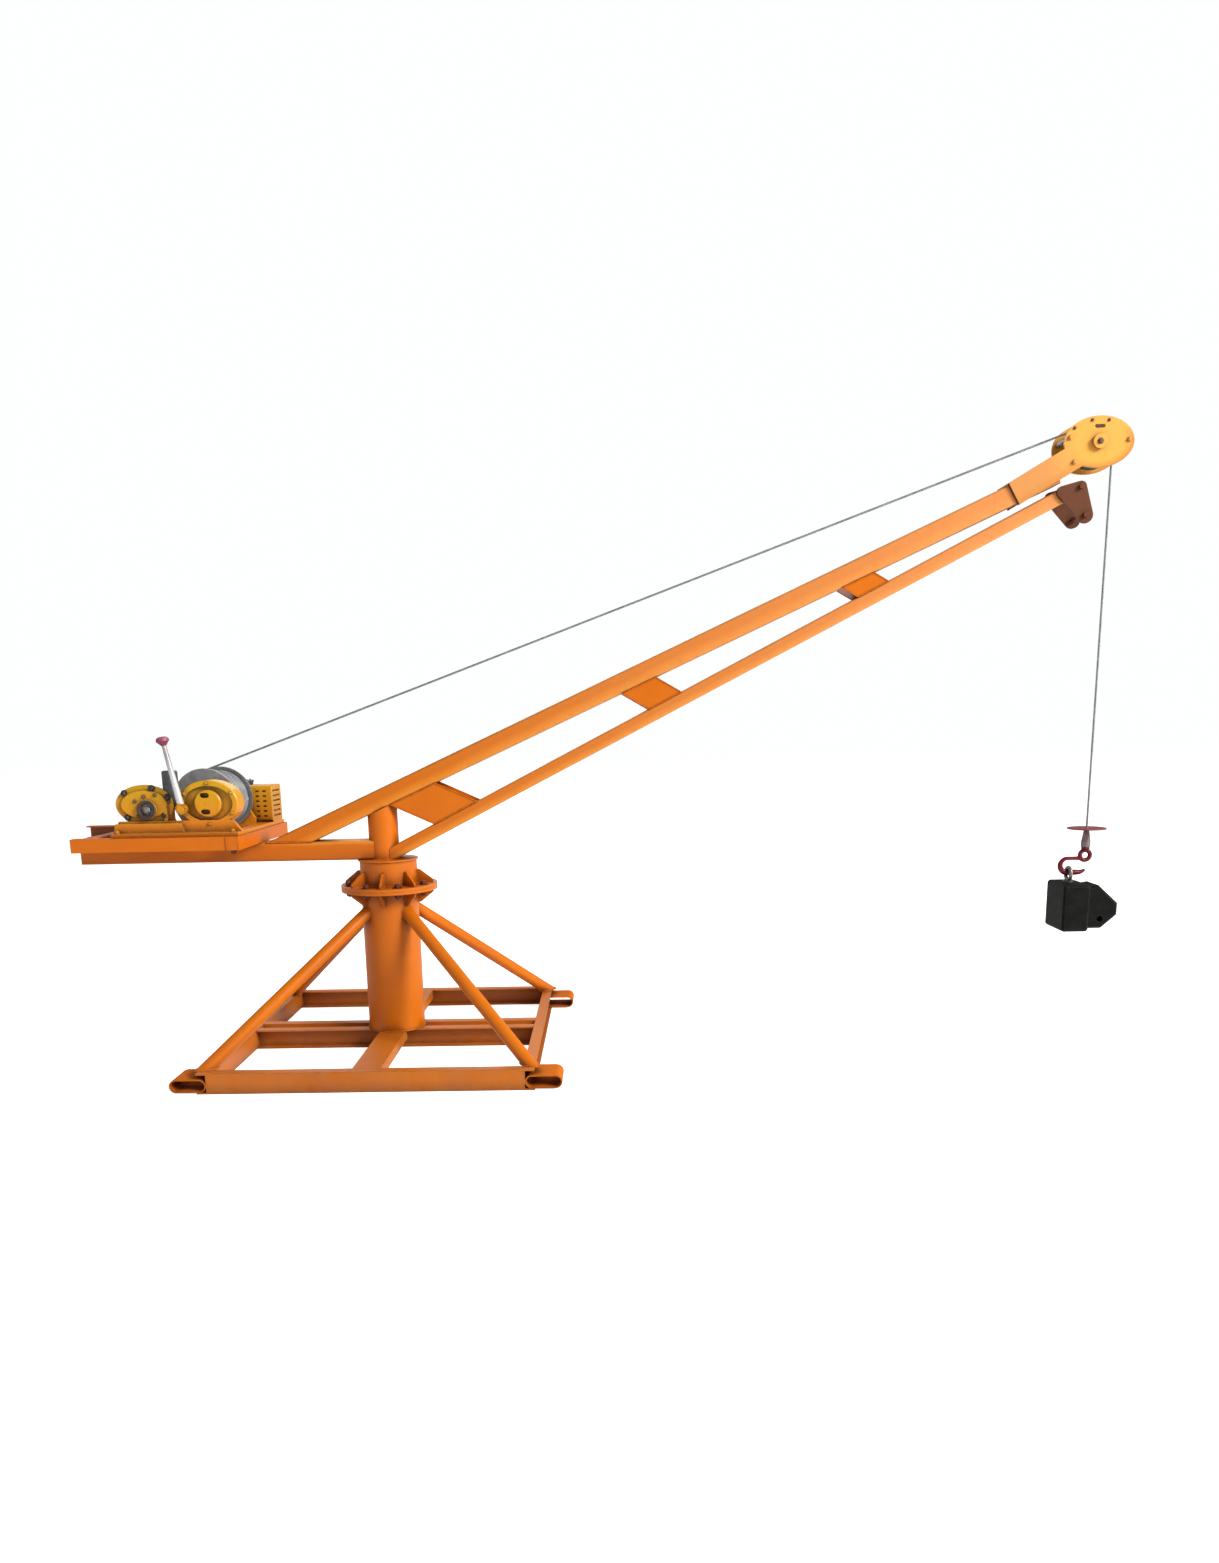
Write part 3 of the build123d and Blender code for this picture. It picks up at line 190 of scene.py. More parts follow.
def sprayed_enamel(
    name, fresh, faded, primer_and_shade, gloss=0.4, share=0.02, dust=0.0, band=None, shine=0.25
):
    """Enamel over steel: cloudy, with runs, chips on edges, painted shade and dirt in corners,
    and dust low down.

    A band is a beam's lower line (foot, slope, depth) and its painted light and shade from there
    upward.
    """
    finish, shader, place = bare_finish(name)
    colour = place.patches(0.34, 2.6, 2.3, 4.0, 0.6).blend(faded, fresh)
    # Painted light and shade along a beam: tones ramped up its depth, and a painted highlight
    # towards its outer end.
    if band:
        foot, slope, depth, painted_tones = band
        level = rise_over(place, foot, slope, depth) + (place.noise(5.0, 3.0) - 0.5) * 0.3
        painted_light_strip = place.node("ValToRGB", {"stops": painted_tones}, {"Fac": level})
        colour = (place.noise(3.1, 3.0) * 0.3 + 0.55).blend(colour, painted_light_strip)
        outer_end_highlight = ((place.along(0) - 0.1) * 0.4).held()
        colour = (outer_end_highlight * 0.7).blend(colour, PEACH_HIGHLIGHT)
    runs = place.stretched(1.0, 1.0, 0.1).patches(0.5, 3.0, 46.0, 4.0, 0.6)
    colour = (runs * 0.28).blend(colour, faded)
    rounded, bare = worn_edges(place, 0.003, share)
    colour = (bare * 0.8).blend(colour, primer_and_shade)
    # Painted shade in corners and between parts, darkened to the same colour as the chips.
    colour = (crevice_shade(place, 0.045, 1.5) * 0.72).blend(colour, primer_and_shade)
    specks = place.patches(0.66, 14.0, 150.0, 3.0, 0.7)
    colour = (specks * 0.4).blend(colour, primer_and_shade)
    if dust:
        low = (1.0 - rise_over(place, 0.0, 0.0, DUST_HEIGHT)).held()
        low = low * place.patches(0.3, 1.8, 17.0, 5.0, 0.7)
        colour = (low * dust).blend(colour, SITE_DUST)
    plug(shader, "Base Color", colour)
    plug(shader, "Roughness", (place.noise(9.0, 4.0) * 0.22 + (gloss - 0.11) + bare * 0.2).held())
    orange_peel(shader, place, rounded)
    plug(shader, "Specular IOR Level", shine)
    plug(shader, "Coat Weight", 0.2 * shine)
    plug(shader, "Coat Roughness", 0.18)
    return finish


def coat(finish, *names):
    """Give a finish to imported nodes."""
    for name in names:
        if not nodes[name].material_slots:
            nodes[name].data.materials.append(finish)
        for slot in nodes[name].material_slots:
            slot.material = finish


ORANGE = tint(210, 112, 6)
ORANGE_FADED = tint(192, 98, 8)
PRIMER_AND_SHADE = tint(66, 30, 6)
orange = sprayed_enamel("orange_enamel", ORANGE, ORANGE_FADED, PRIMER_AND_SHADE, gloss=0.36)
coat(
    orange, "column_pipe", "upper_pipe", "column_braces", "lower_flange", "upper_flange",
    "lower_gussets", "upper_gussets",
)
rail_orange = sprayed_enamel(
    "orange_enamel_rails", tint(206, 114, 12), tint(182, 94, 14), PRIMER_AND_SHADE,
    gloss=0.42, share=0.05, dust=0.4,
)
coat(
    rail_orange, "left_rail", "right_rail", "front_rail", "back_rail", "middle_beam_front",
    "middle_beam_back", "base_ties", "column_seat_plates",
)
# The sleeves' near-black chip colour is also the painted shade that the corner mask lays inside
# their mouths.
sleeve_orange = sprayed_enamel(
    "orange_enamel_sleeves", tint(210, 116, 34), tint(186, 94, 28), tint(50, 12, 6),
    gloss=0.8, share=0.1, shine=0.03,
)
coat(sleeve_orange, "corner_sleeves")


# Welds of the base: stick-welded fillets under the paint, round the column's flanges,
# along each gusset, on the corner sleeves, and where the braces meet column and corners.
def full_turn(count):
    """Angles of a full turn, evenly spaced, without the last, which is the first again."""
    return np.linspace(0, 2 * math.pi, count, endpoint=False)


def spokes(turn, side, over):
    """Directions at angles of a turn: the cosine along one side plus the sine along the other."""
    return np.cos(turn)[..., None] * side + np.sin(turn)[..., None] * over


def lengths_along(line):
    """The length of a line from its start to each of its points."""
    return np.concatenate([[0], np.cumsum(np.linalg.norm(np.diff(line, axis=0), axis=1))])


def run_of(line):
    """Unit directions along a line: the differences between its points, over their lengths."""
    run = np.gradient(line, axis=0)
    return run / np.linalg.norm(run, axis=1)[:, None]


def shell(points, ring=False):
    """A tube's vertices and faces: a row of points at each station, joined to the next row."""
    rows, columns = points.shape[:2]
    index = np.arange(rows * columns).reshape(rows, columns)
    here = index if ring else index[:-1]
    ahead = np.roll(index, -1, axis=0) if ring else index[1:]
    corners = [here, np.roll(here, -1, 1), np.roll(ahead, -1, 1), ahead]
    faces = np.stack(corners, axis=-1).reshape(-1, 4).tolist()
    if not ring:
        faces += [index[0][::-1].tolist(), index[-1].tolist()]
    return points.reshape(-1, 3), faces


def piece(name, shells, body, finish, smooth=True):
    """One object made of several shells, with its faces turned outward."""
    points, faces, start = [], [], 0
    for shell_points, shell_faces in shells:
        points.append(shell_points)
        faces += [[start + corner for corner in face] for face in shell_faces]
        start += len(shell_points)
    mesh = bpy.data.meshes.new(name)
    mesh.from_pydata(np.concatenate(points).tolist(), [], faces)
    form = bmesh.new()
    form.from_mesh(mesh)
    bmesh.ops.recalc_face_normals(form, faces=form.faces)
    form.to_mesh(mesh)
    form.free()
    mesh.polygons.foreach_set("use_smooth", [smooth] * len(mesh.polygons))
    mesh.materials.append(finish)
    made = bpy.data.objects.new(name, mesh)
    bpy.context.scene.collection.objects.link(made)
    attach(made, body)
    return made


RIPPLE = 0.005
RIPPLE_SHARE = 0.15
BEAD_STEP = 0.0016
ACROSS_BEADS = (0.37, 0.61, 0.70)


def bead(path, radius=0.0035, ring=False):
    """A weld: a round section along a path, its radius swelling by a sine of the length."""
    path = np.array(path, float)
    if ring:
        path = np.vstack([path, path[:1]])
    length = lengths_along(path)
    count = max(4, int(length[-1] / BEAD_STEP))
    along = np.linspace(0, length[-1], count, endpoint=not ring)
    line = np.stack([np.interp(along, length, path[:, axis]) for axis in range(3)], axis=1)
    run = run_of(line)
    side = np.cross(run, ACROSS_BEADS)
    side /= np.linalg.norm(side, axis=1)[:, None]
    over = np.cross(run, side)
    swell = radius * (1 + RIPPLE_SHARE * np.sin(2 * math.pi * along / RIPPLE))
    section = spokes(full_turn(8)[None, :], side[:, None], over[:, None])
    return shell(line[:, None] + swell[:, None, None] * section, ring)


def circle(radius, z, x=0.0):
    """Points of a level circle: the radius times the cosine along X and the sine along Y."""
    turn = full_turn(96)
    level = np.full(len(turn), z)
    return np.stack([x + radius * np.cos(turn), radius * np.sin(turn), level], axis=1)


column_low, column_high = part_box("column_pipe")
column_r = column_high.x
column_foot, flange_low = column_low.z, column_high.z
flange_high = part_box("upper_flange")[1].z
flange_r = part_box("upper_flange")[1].x
gusset_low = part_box("lower_gussets")[0].z
gusset_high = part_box("upper_gussets")[1].z
base_welds = [
    bead(circle(column_r, flange_low), ring=True),
    bead(circle(column_r, flange_high), ring=True),
    bead(circle(column_r, column_foot), radius=0.004, ring=True),
]
GUSSETS = 8
GUSSET_HALF = 0.004
GUSSET_SPAN = 0.058
for step in range(GUSSETS):
    angle = 2 * math.pi * step / GUSSETS
    out = np.array([math.cos(angle), math.sin(angle), 0])
    across = np.array([-math.sin(angle), math.cos(angle), 0])
    for seat, tip in ((flange_low, gusset_low), (flange_high, gusset_high)):
        for side in (-1, 1):
            corner = out * column_r + across * side * GUSSET_HALF + np.array([0, 0, seat])
            up_end = corner + np.array([0, 0, tip - seat])
            out_end = corner + out * GUSSET_SPAN
            base_welds.append(bead([out_end, corner, up_end], radius=0.003))

# Each brace's welds follow the pipe's cut ends: lines along the pipe, run down to the
# base's top face at one end and up to the column's round face at the other.
CORNERS = ((-1, -1), (-1, 1), (1, -1), (1, 1))
BRACE_R = 0.02415
BRACE_FOOT = (0.570, 0.540)
BRACE_TOP_Z = 0.540
brace_reach = math.hypot(*BRACE_FOOT)
for sign_x, sign_y in CORNERS:
    foot = np.array([sign_x * BRACE_FOOT[0], sign_y * BRACE_FOOT[1], column_foot])
    top = foot * column_r / brace_reach
    top[2] = BRACE_TOP_Z
    run = (top - foot) / np.linalg.norm(top - foot)
    side = np.cross(run, (0, 0, 1))
    side /= np.linalg.norm(side)
    start = foot + BRACE_R * spokes(full_turn(48), side, np.cross(side, run))
    drop = (start[:, 2] - column_foot) / run[2]
    base_welds.append(bead(start - drop[:, None] * run, ring=True))
    square = run[0] ** 2 + run[1] ** 2
    half = start[:, 0] * run[0] + start[:, 1] * run[1]
    rest = start[:, 0] ** 2 + start[:, 1] ** 2 - column_r ** 2
    reach = (-half - np.sqrt(half ** 2 - square * rest)) / square
    base_welds.append(bead(start + reach[:, None] * run, ring=True))

SLEEVE_LENGTH, SLEEVE_WIDTH = 0.120, 0.130
SLEEVE_WELD_SUNK = 0.002
sleeve_low, sleeve_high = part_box("corner_sleeves")
inner_x = sleeve_high.x - SLEEVE_WIDTH
sleeve_half = (sleeve_high.z - sleeve_low.z) / 2
for sign_x, sign_y in CORNERS:
    y = sign_y * (sleeve_high.y - SLEEVE_LENGTH)
    for z in (sleeve_low.z + SLEEVE_WELD_SUNK, sleeve_high.z - SLEEVE_WELD_SUNK):
        ends = [(sign_x * inner_x, y, z), (sign_x * (sleeve_high.x - sleeve_half), y, z)]
        base_welds.append(bead(ends, radius=0.003))
piece("base_welds", base_welds, "base", orange)


# Flange bolts: eight steel hexagon bolts hold the two flanges together, with washers,
# heads above and nuts below. They were sprayed with the column and rust through the coat.
UP, DOWN, FRONT = (0, 0, 1), (0, 0, -1), (0, -1, 0)
ACROSS_BOLTS = (0.31, 0.47, 0.83)


def hexagon(seat, axis, corner_r, height, washer=1.45):
    """A washer, hexagon and stud end: round and six-sided profiles stacked along an axis."""
    axis = np.array(axis, float)
    side = np.cross(axis, ACROSS_BOLTS)
    side /= np.linalg.norm(side)
    over = np.cross(axis, side)

    def stack(sides, rows):
        """A turned or cut form: the sides' directions times each row's radius, at its rise."""
        ring = spokes(full_turn(sides), side, over)
        levels = [np.array(seat) + rise * axis + radius * ring for rise, radius in rows]
        return shell(np.array(levels))

    thin, stud_r = 0.16 * height, 0.55 * corner_r
    stud_end = (1.27 * height, 0.8 * stud_r)
    plate = stack(20, [(0, washer * corner_r), (thin, washer * corner_r)])
    head = stack(6, [(thin, corner_r), (0.85 * height, corner_r), (height, 0.84 * corner_r)])
    stud = stack(12, [(0.5 * height, stud_r), (1.2 * height, stud_r), stud_end])
    return [plate, head, stud]


bolt_ring_r = column_r + 0.6 * (flange_r - column_r)
flange_bolts = []
for step in range(GUSSETS):
    angle = 2 * math.pi * (step + 0.5) / GUSSETS
    spot = (bolt_ring_r * math.cos(angle), bolt_ring_r * math.sin(angle))
    flange_bolts += hexagon((*spot, flange_high), UP, 0.0135, 0.012)
    flange_bolts += hexagon((*spot, flange_low), DOWN, 0.0135, 0.015)
bolt_brown = sprayed_enamel(
    "rusty_bolts", tint(138, 62, 24), tint(104, 46, 20), tint(48, 24, 12), share=0.2
)
piece("flange_bolts", flange_bolts, "base", bolt_brown, smooth=False)


# The turning arm: box beams and flat battens, sprayed with the same orange, with a deeper painted
# tone along the middle of each beam, painted shade along its top edge and a painted highlight on
# its lower side.
# Painted light and shade up a beam's depth: pale painted highlight low down, deeper tone in the
# middle, painted shade at the top edge.
CHORD_PAINTED_LIGHT = [
    (0.0, tint(228, 150, 60)), (0.3, tint(220, 128, 30)), (0.55, tint(198, 100, 6)),
    (0.86, tint(198, 104, 12)), (0.95, tint(178, 102, 24)), (1.0, tint(124, 80, 16)),
]
SPINE_PAINTED_LIGHT = [
    (0.0, tint(156, 74, 8)), (0.2, tint(188, 94, 8)),
    (0.8, tint(204, 104, 6)), (0.93, tint(226, 142, 50)),
]
# A beam's lower line: its height at x = 0, its slope, and the beam's upright depth.
TOP_CHORD_LINE = (0.9392, 0.4434, 0.0788)
BOTTOM_CHORD_LINE = (0.7235, 0.5, 0.0559)
SPINE_LINE = (0.744, 0.0, 0.073)
CHORD_FADED = tint(206, 116, 24)
coat(sprayed_enamel(
    "orange_enamel_top_chord", ORANGE, CHORD_FADED, PRIMER_AND_SHADE, band=(*TOP_CHORD_LINE, CHORD_PAINTED_LIGHT)
), "top_chord")
coat(sprayed_enamel(
    "orange_enamel_bottom_chord", ORANGE, CHORD_FADED, PRIMER_AND_SHADE,
    band=(*BOTTOM_CHORD_LINE, CHORD_PAINTED_LIGHT),
), "bottom_chord")
coat(sprayed_enamel(
    "orange_enamel_spine", ORANGE, ORANGE_FADED, PRIMER_AND_SHADE, band=(*SPINE_LINE, SPINE_PAINTED_LIGHT)
), "spine_beam")
arm_orange = sprayed_enamel(
    "orange_enamel_arm", tint(214, 112, 4), tint(198, 98, 6), PRIMER_AND_SHADE, gloss=0.36
)
coat(
    arm_orange, "slew_disc", "post", "gusset_plates", "boom_battens", "platform_beam_front",
    "platform_cross_beams", "platform_end_beam",
)
coat(sprayed_enamel(
    "orange_enamel_back_beam", tint(186, 94, 26), tint(160, 80, 24), tint(96, 66, 54), share=0.3
), "platform_beam_back")


# Welds of the arm: each batten and gusset plate is lapped and welded all round,
# and the post, the chords and the platform's beams are welded where they meet.
def front_corners(name):
    """The corners of a node's flat front face, as X and Z."""
    spots = np.array([vertex.co for vertex in nodes[name].data.vertices])
    front = spots[spots[:, 1] < spots[:, 1].min() + 1e-5]
    return np.unique(front[:, (0, 2)].round(5), axis=0)


def seam(first, second, y):
    """The two ends of a straight weld between corners, at depth y."""
    return [(first[0], y, first[1]), (second[0], y, second[1])]


half_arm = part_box("spine_beam")[1].y
ARM_SIDES = (-half_arm, half_arm)
arm_welds = []
batten_corners = front_corners("boom_battens")
for corners in np.split(batten_corners, [len(batten_corners) // 2]):
    middle = corners.mean(axis=0)
    order = np.argsort(np.arctan2(corners[:, 1] - middle[1], corners[:, 0] - middle[0]))
    loop = corners[order]
    for first, second in zip(loop, np.roll(loop, -1, axis=0)):
        for y in ARM_SIDES:
            arm_welds.append(bead(seam(first, second, y), radius=0.0022))
plate = front_corners("gusset_plates")
right_top = plate[np.argmax(plate[:, 1])]
right_low = plate[np.argmax(plate[:, 0])]
left_low = plate[np.argmin(plate[:, 1])]
left_top = plate[np.argmin(plate[:, 0])]
for first, second in (
    (right_top, right_low), (right_low, left_low), (left_top, right_top), (left_low, left_top)
):
    for y in ARM_SIDES:
        arm_welds.append(bead(seam(first, second, y), radius=0.0024))

post_low, post_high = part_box("post")
post_x = (post_low.x + post_high.x) / 2
post_r = post_high.x - post_x
arm_welds.append(bead(circle(post_r, post_low.z, post_x), radius=0.004, ring=True))
CHORD_FOOT_LENGTH = 0.175
CROSS_BEAM_EDGES = (-1.060, -1.100, -0.900, -0.940)
CROSS_WELD_INSET = 0.008
spine_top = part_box("spine_beam")[1].z
foot_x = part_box("top_chord")[0].x
for y in ARM_SIDES:
    ends = [(foot_x, y, spine_top), (foot_x + CHORD_FOOT_LENGTH, y, spine_top)]
    arm_welds.append(bead(ends, radius=0.0032))
arm_welds.append(bead([(foot_x, y, spine_top) for y in ARM_SIDES], radius=0.004))
for x in CROSS_BEAM_EDGES:
    inset_y = half_arm - CROSS_WELD_INSET
    arm_welds.append(bead([(x, -inset_y, spine_top), (x, inset_y, spine_top)]))
end_low, end_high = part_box("platform_end_beam")
for y in (end_low.y, end_high.y):
    ends = [(end_low.x, y, end_low.z), (end_low.x, y, end_high.z)]
    arm_welds.append(bead(ends, radius=0.003))
piece("arm_welds", arm_welds, "arm", arm_orange)

# Platform bolts: a rusty steel bolt stands out under the lower flange of the front beam
# and of the back beam, near the end beam that joins them.
PLATFORM_BOLT_X, PLATFORM_BOLT_Y = -0.500, 0.285
platform_bolts = []
for y in (-PLATFORM_BOLT_Y, PLATFORM_BOLT_Y):
    platform_bolts += hexagon((PLATFORM_BOLT_X, y, end_low.z), DOWN, 0.010, 0.012)
piece("platform_bolts", platform_bolts, "arm", bolt_brown, smooth=False)


# The hoist rope: six strands of galvanised wire laid round a core, greased, run taut
# from the drum over the sheave to its socket.
def laid_rope_finish(name, pale, dark, between):
    """Grey wires with patches of grease: fine slanted wires as bump, and painted shade in the lay
    between the strands.
    """
    finish, shader, place = bare_finish(name)
    grease = place.patches(0.4, 2.4, 26.0, 4.0, 0.6)
    slanted = {"bands_direction": "DIAGONAL"}
    wires = place.node("TexWave", slanted, {"Vector": place, "Scale": 420.0, "Distortion": 1.5})
    # Painted shade in the lay between the strands, in the between colour.
    colour = (crevice_shade(place, 0.0012, 1.2) * 0.6).blend(grease.blend(pale, dark), between)
    plug(shader, "Base Color", colour)
    plug(shader, "Metallic", 0.35)
    plug(shader, "Roughness", (grease * 0.15 + 0.45).held())
    relief(shader, wires, 0.4, 0.0004)
    return finish


rope_finish = laid_rope_finish(
    "greased_rope", tint(156, 157, 163), tint(112, 114, 120), tint(76, 76, 80)
)
STRANDS = 6
LAY = 0.060


def laid_rope(line, normal, radius, around=36):
    """Strands twisted round a line: the radius at each turn is the nearest strand's far side."""
    over = np.cross(run_of(line), normal)
    turn = full_turn(around)
    within = (turn + math.pi / STRANDS) % (2 * math.pi / STRANDS) - math.pi / STRANDS
    core, strand = 2 * radius / 3, radius / 3
    inside = np.maximum(strand ** 2 - (core * np.sin(within)) ** 2, 0)
    reach = core * np.cos(within) + np.sqrt(inside)
    angle = turn[None, :] + 2 * math.pi * lengths_along(line)[:, None] / LAY
    section = spokes(angle, normal[:, None], over[:, None])
    return shell(line[:, None] + reach[None, :, None] * section)


LEAD_POINTS, WRAP_POINTS, FALL_POINTS = 640, 34, 260
ROPE_CLEARANCE = 0.0003
joint_at = {joint["name"]: np.array(joint["pos_m"]) for joint in frame["joints"]}
drum_at, sheave_at = joint_at["drum_turn"], joint_at["sheave_turn"]
fall_low, fall_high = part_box("rope_fall")
rope_r = fall_high.y
hang_x = (fall_low.x + fall_high.x) / 2
winding_low, winding_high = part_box("rope_winding")
lead_r = (winding_high.x - winding_low.x) / 2 + rope_r + ROPE_CLEARANCE
wrap_r = hang_x - sheave_at[0]
gap_x, gap_z = sheave_at[0] - drum_at[0], sheave_at[2] - drum_at[2]
narrowing = math.asin((lead_r - wrap_r) / math.hypot(gap_x, gap_z))
lean = math.atan2(gap_z, gap_x) - narrowing + math.pi / 2
outward = np.array([math.cos(lean), 0, math.sin(lean)])
lead_start, lead_end = drum_at + lead_r * outward, sheave_at + wrap_r * outward
lead_start[1] = lead_end[1] = 0.0
lead = lead_start + np.linspace(0, 1, LEAD_POINTS)[:, None] * (lead_end - lead_start)
wrap_turn = np.linspace(lean, 0, WRAP_POINTS)[1:-1]
wrap_x = sheave_at[0] + wrap_r * np.cos(wrap_turn)
wrap_z = sheave_at[2] + wrap_r * np.sin(wrap_turn)
wrap = np.stack([wrap_x, 0 * wrap_turn, wrap_z], axis=1)
fall_z = np.linspace(sheave_at[2], fall_low.z, FALL_POINTS)
fall = np.stack([np.full(FALL_POINTS, hang_x), np.zeros(FALL_POINTS), fall_z], axis=1)
rope_line = np.concatenate([lead, wrap, fall])
rope_normal = np.cross(run_of(rope_line), (0.0, 1.0, 0.0))
hoist_rope = piece(
    "hoist_rope", [laid_rope(rope_line, rope_normal, rope_r)], "arm", rope_finish
)
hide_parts("rope_lead", "rope_wrap", "rope_fall")

# The wound rope: one full layer side by side on the barrel, and a second layer that
# stops where the rope leaves the drum. A plain core closes the gaps under the turns.
POINTS_A_TURN = 64
CORE_SUNK = 0.4
TOP_LAYER_END = 2.2
pitch = 2 * rope_r
first_y, last_y = winding_low.y + rope_r, winding_high.y - rope_r


def across_y(turn):
    """Unit directions across Y: the cosine along X and the sine along Z."""
    return np.stack([np.cos(turn), 0 * turn, np.sin(turn)], axis=1)


def helix(radius, start_y, end_y, end_angle):
    """A line of constant pitch round the drum's axis that ends at an angle."""
    wraps = abs(end_y - start_y) / pitch
    share = np.linspace(0, 1, int(POINTS_A_TURN * wraps))
    normal = across_y(end_angle - 2 * math.pi * wraps * (1 - share))
    line = normal * radius + np.array([drum_at[0], 0, drum_at[2]])
    line[:, 1] = start_y + share * (end_y - start_y)
    return line, normal


first_r = lead_r - 2 * rope_r - ROPE_CLEARANCE
under = laid_rope(*helix(first_r, first_y, last_y, 0.0), rope_r, around=18)
core_ring = across_y(full_turn(96)) * (first_r - rope_r * CORE_SUNK)
core_ends = (winding_low.y, winding_high.y)
core = shell(np.array([core_ring + np.array([drum_at[0], y, drum_at[2]]) for y in core_ends]))
wound_rope = piece("wound_rope", [under, core], "drum", rope_finish)
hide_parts("rope_winding")
top_line = helix(lead_r - ROPE_CLEARANCE, first_y, -rope_r * TOP_LAYER_END, lean - math.pi)
top_layer = laid_rope(*top_line, rope_r, around=18)
piece("wound_rope_top_layer", [top_layer], "drum", rope_finish)


# The winch castings: sand-cast iron in thick amber yellow enamel, with painted shade and oil
# brown in the corners. Bed, gear case, brake cover and the drum's back frame, with a sheet steel
# cowl.
CASTING_FOOT, CASTING_DEPTH = 0.90, 0.12
OLIVE = tint(166, 134, 20)
RUBBED_YELLOW = tint(240, 196, 104)
OIL_AND_SHADE_BROWN = tint(66, 34, 6)


def cast_enamel(name, fresh, deep):
    """Enamel on sand-cast iron: grainy, deeper coloured low down, with painted shade and oil
    brown where it is enclosed.
    """
    finish, shader, place = bare_finish(name)
    level = rise_over(place, CASTING_FOOT, 0.0, CASTING_DEPTH)
    level = level + (place.noise(9.0, 4.0, 0.6) - 0.5) * 1.1
    colour = level.held().blend(deep, fresh)
    olive = place.patches(0.48, 3.0, 6.0, 2.0)
    colour = (olive * 0.3).blend(colour, OLIVE)
    rounded, bare = worn_edges(place, 0.003, 0.04)
    # Painted shade, with oil, where the casting is enclosed.
    corner_shade_and_oil = crevice_shade(place, 0.04, 1.6)
    colour = (corner_shade_and_oil * 0.85).blend(colour, OIL_AND_SHADE_BROWN)
    colour = (bare * 0.5).blend(colour, RUBBED_YELLOW)
    splash = place.patches(0.6, 9.0, 55.0, 5.0, 0.75)
    colour = (splash * 0.45).blend(colour, OIL_AND_SHADE_BROWN)
    grain = place.noise(330.0, 3.0, 0.6) + place.noise(70.0, 3.0) * 2.0
    plug(shader, "Base Color", colour)
    plug(shader, "Roughness", (place.noise(12.0, 3.0) * 0.25 + 0.26 + corner_shade_and_oil * 0.2).held())
    relief(shader, grain, 0.35, 0.0016, rounded)
    plug(shader, "Specular IOR Level", 0.35)
    plug(shader, "Coat Weight", 0.1)
    plug(shader, "Coat Roughness", 0.15)
    return finish


yellow = cast_enamel("amber_cast_enamel", tint(208, 154, 8), tint(220, 128, 2))
coat(yellow, "winch_bed", "gear_case", "brake_cover", "bearing_frame")
coat(cast_enamel("amber_sheet_enamel", tint(210, 148, 24), tint(196, 122, 14)), "motor_cowl")


# Case bolts: dark hexagon screws round the gear case's flange and small rusty ones on
# its cover. The hub is a dark turned ring with a plain steel nut in its pocket.
RUBBED_STEEL = tint(190, 190, 192)
OILY_DIRT_AND_SHADE = tint(36, 30, 28)


def metal(name, pale, dark, roughness, metallic, scratch, shine=0.5, rub=0.5):
    """Bare or blacked steel: cloudy tone, fine turning marks, rubbed edges and painted shade with
    oily dirt in corners.
    """
    finish, shader, place = bare_finish(name)
    cloud = place.patches(0.35, 2.2, 31.0, 4.0, 0.6)
    rounded, bare = worn_edges(place, 0.0015, 0.2)
    colour = (bare * rub).blend(cloud.blend(dark, pale), RUBBED_STEEL)
    # Painted shade and oily dirt in corners and recesses.
    colour = (crevice_shade(place, 0.03, 1.2) * 0.7).blend(colour, OILY_DIRT_AND_SHADE)
    marks = place.noise(600.0, 2.0) + place.noise(90.0, 4.0) * scratch
    plug(shader, "Base Color", colour)
    plug(shader, "Metallic", metallic)
    plug(shader, "Specular IOR Level", shine)
    plug(shader, "Roughness", (place.noise(48.0, 4.0) * 0.2 + (roughness - 0.1)).held())
    relief(shader, marks, 0.16, 0.0005, rounded)
    return finish


dark_steel = metal("oiled_dark_steel", tint(66, 58, 52), OILY_DIRT_AND_SHADE, 0.45, 0.4, 1.0)
rust_steel = metal("rusty_small_bolts", tint(136, 74, 20), tint(92, 48, 14), 0.6, 0.2, 1.0)
CASE_X, CASE_Z = -0.835, 0.983
CASE_HALF = (0.0975, 0.0625)
CASE_BOLT_DEGREES = (25, 71, 137, 227, 318)
COVER_PROUD, FLANGE_PROUD = 0.008, 0.009
hub_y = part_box("gear_case")[0].y
cover_y = hub_y + COVER_PROUD
case_flange_y = cover_y + FLANGE_PROUD
case_bolts = []
for degrees in CASE_BOLT_DEGREES:
    angle = math.radians(degrees)
    x = CASE_X + CASE_HALF[0] * math.cos(angle)
    z = CASE_Z + CASE_HALF[1] * math.sin(angle)
    case_bolts += hexagon((x, case_flange_y, z), FRONT, 0.0095, 0.010, washer=1.3)
piece("case_bolts", case_bolts, "arm", dark_steel, smooth=False)
COVER_BOLTS = (
    (-0.832, cover_y, 1.013), (-0.790, cover_y, 1.018), (-0.866, cover_y, 0.996),
    (-0.745, case_flange_y, 0.992), (-0.858, cover_y, 0.942),
)
cover_bolts = []
for spot in COVER_BOLTS:
    cover_bolts += hexagon(spot, FRONT, 0.0058, 0.005, washer=1.25)
piece("cover_bolts", cover_bolts, "arm", rust_steel, smooth=False)


def collar(x, y, z, rows):
    """A ring turned about a line along Y: its section is the closed loop of depths and radii."""
    ring = across_y(full_turn(64))
    sections = [np.array([x, y - rise, z]) + radius * ring for rise, radius in rows]
    return shell(np.array(sections), ring=True)


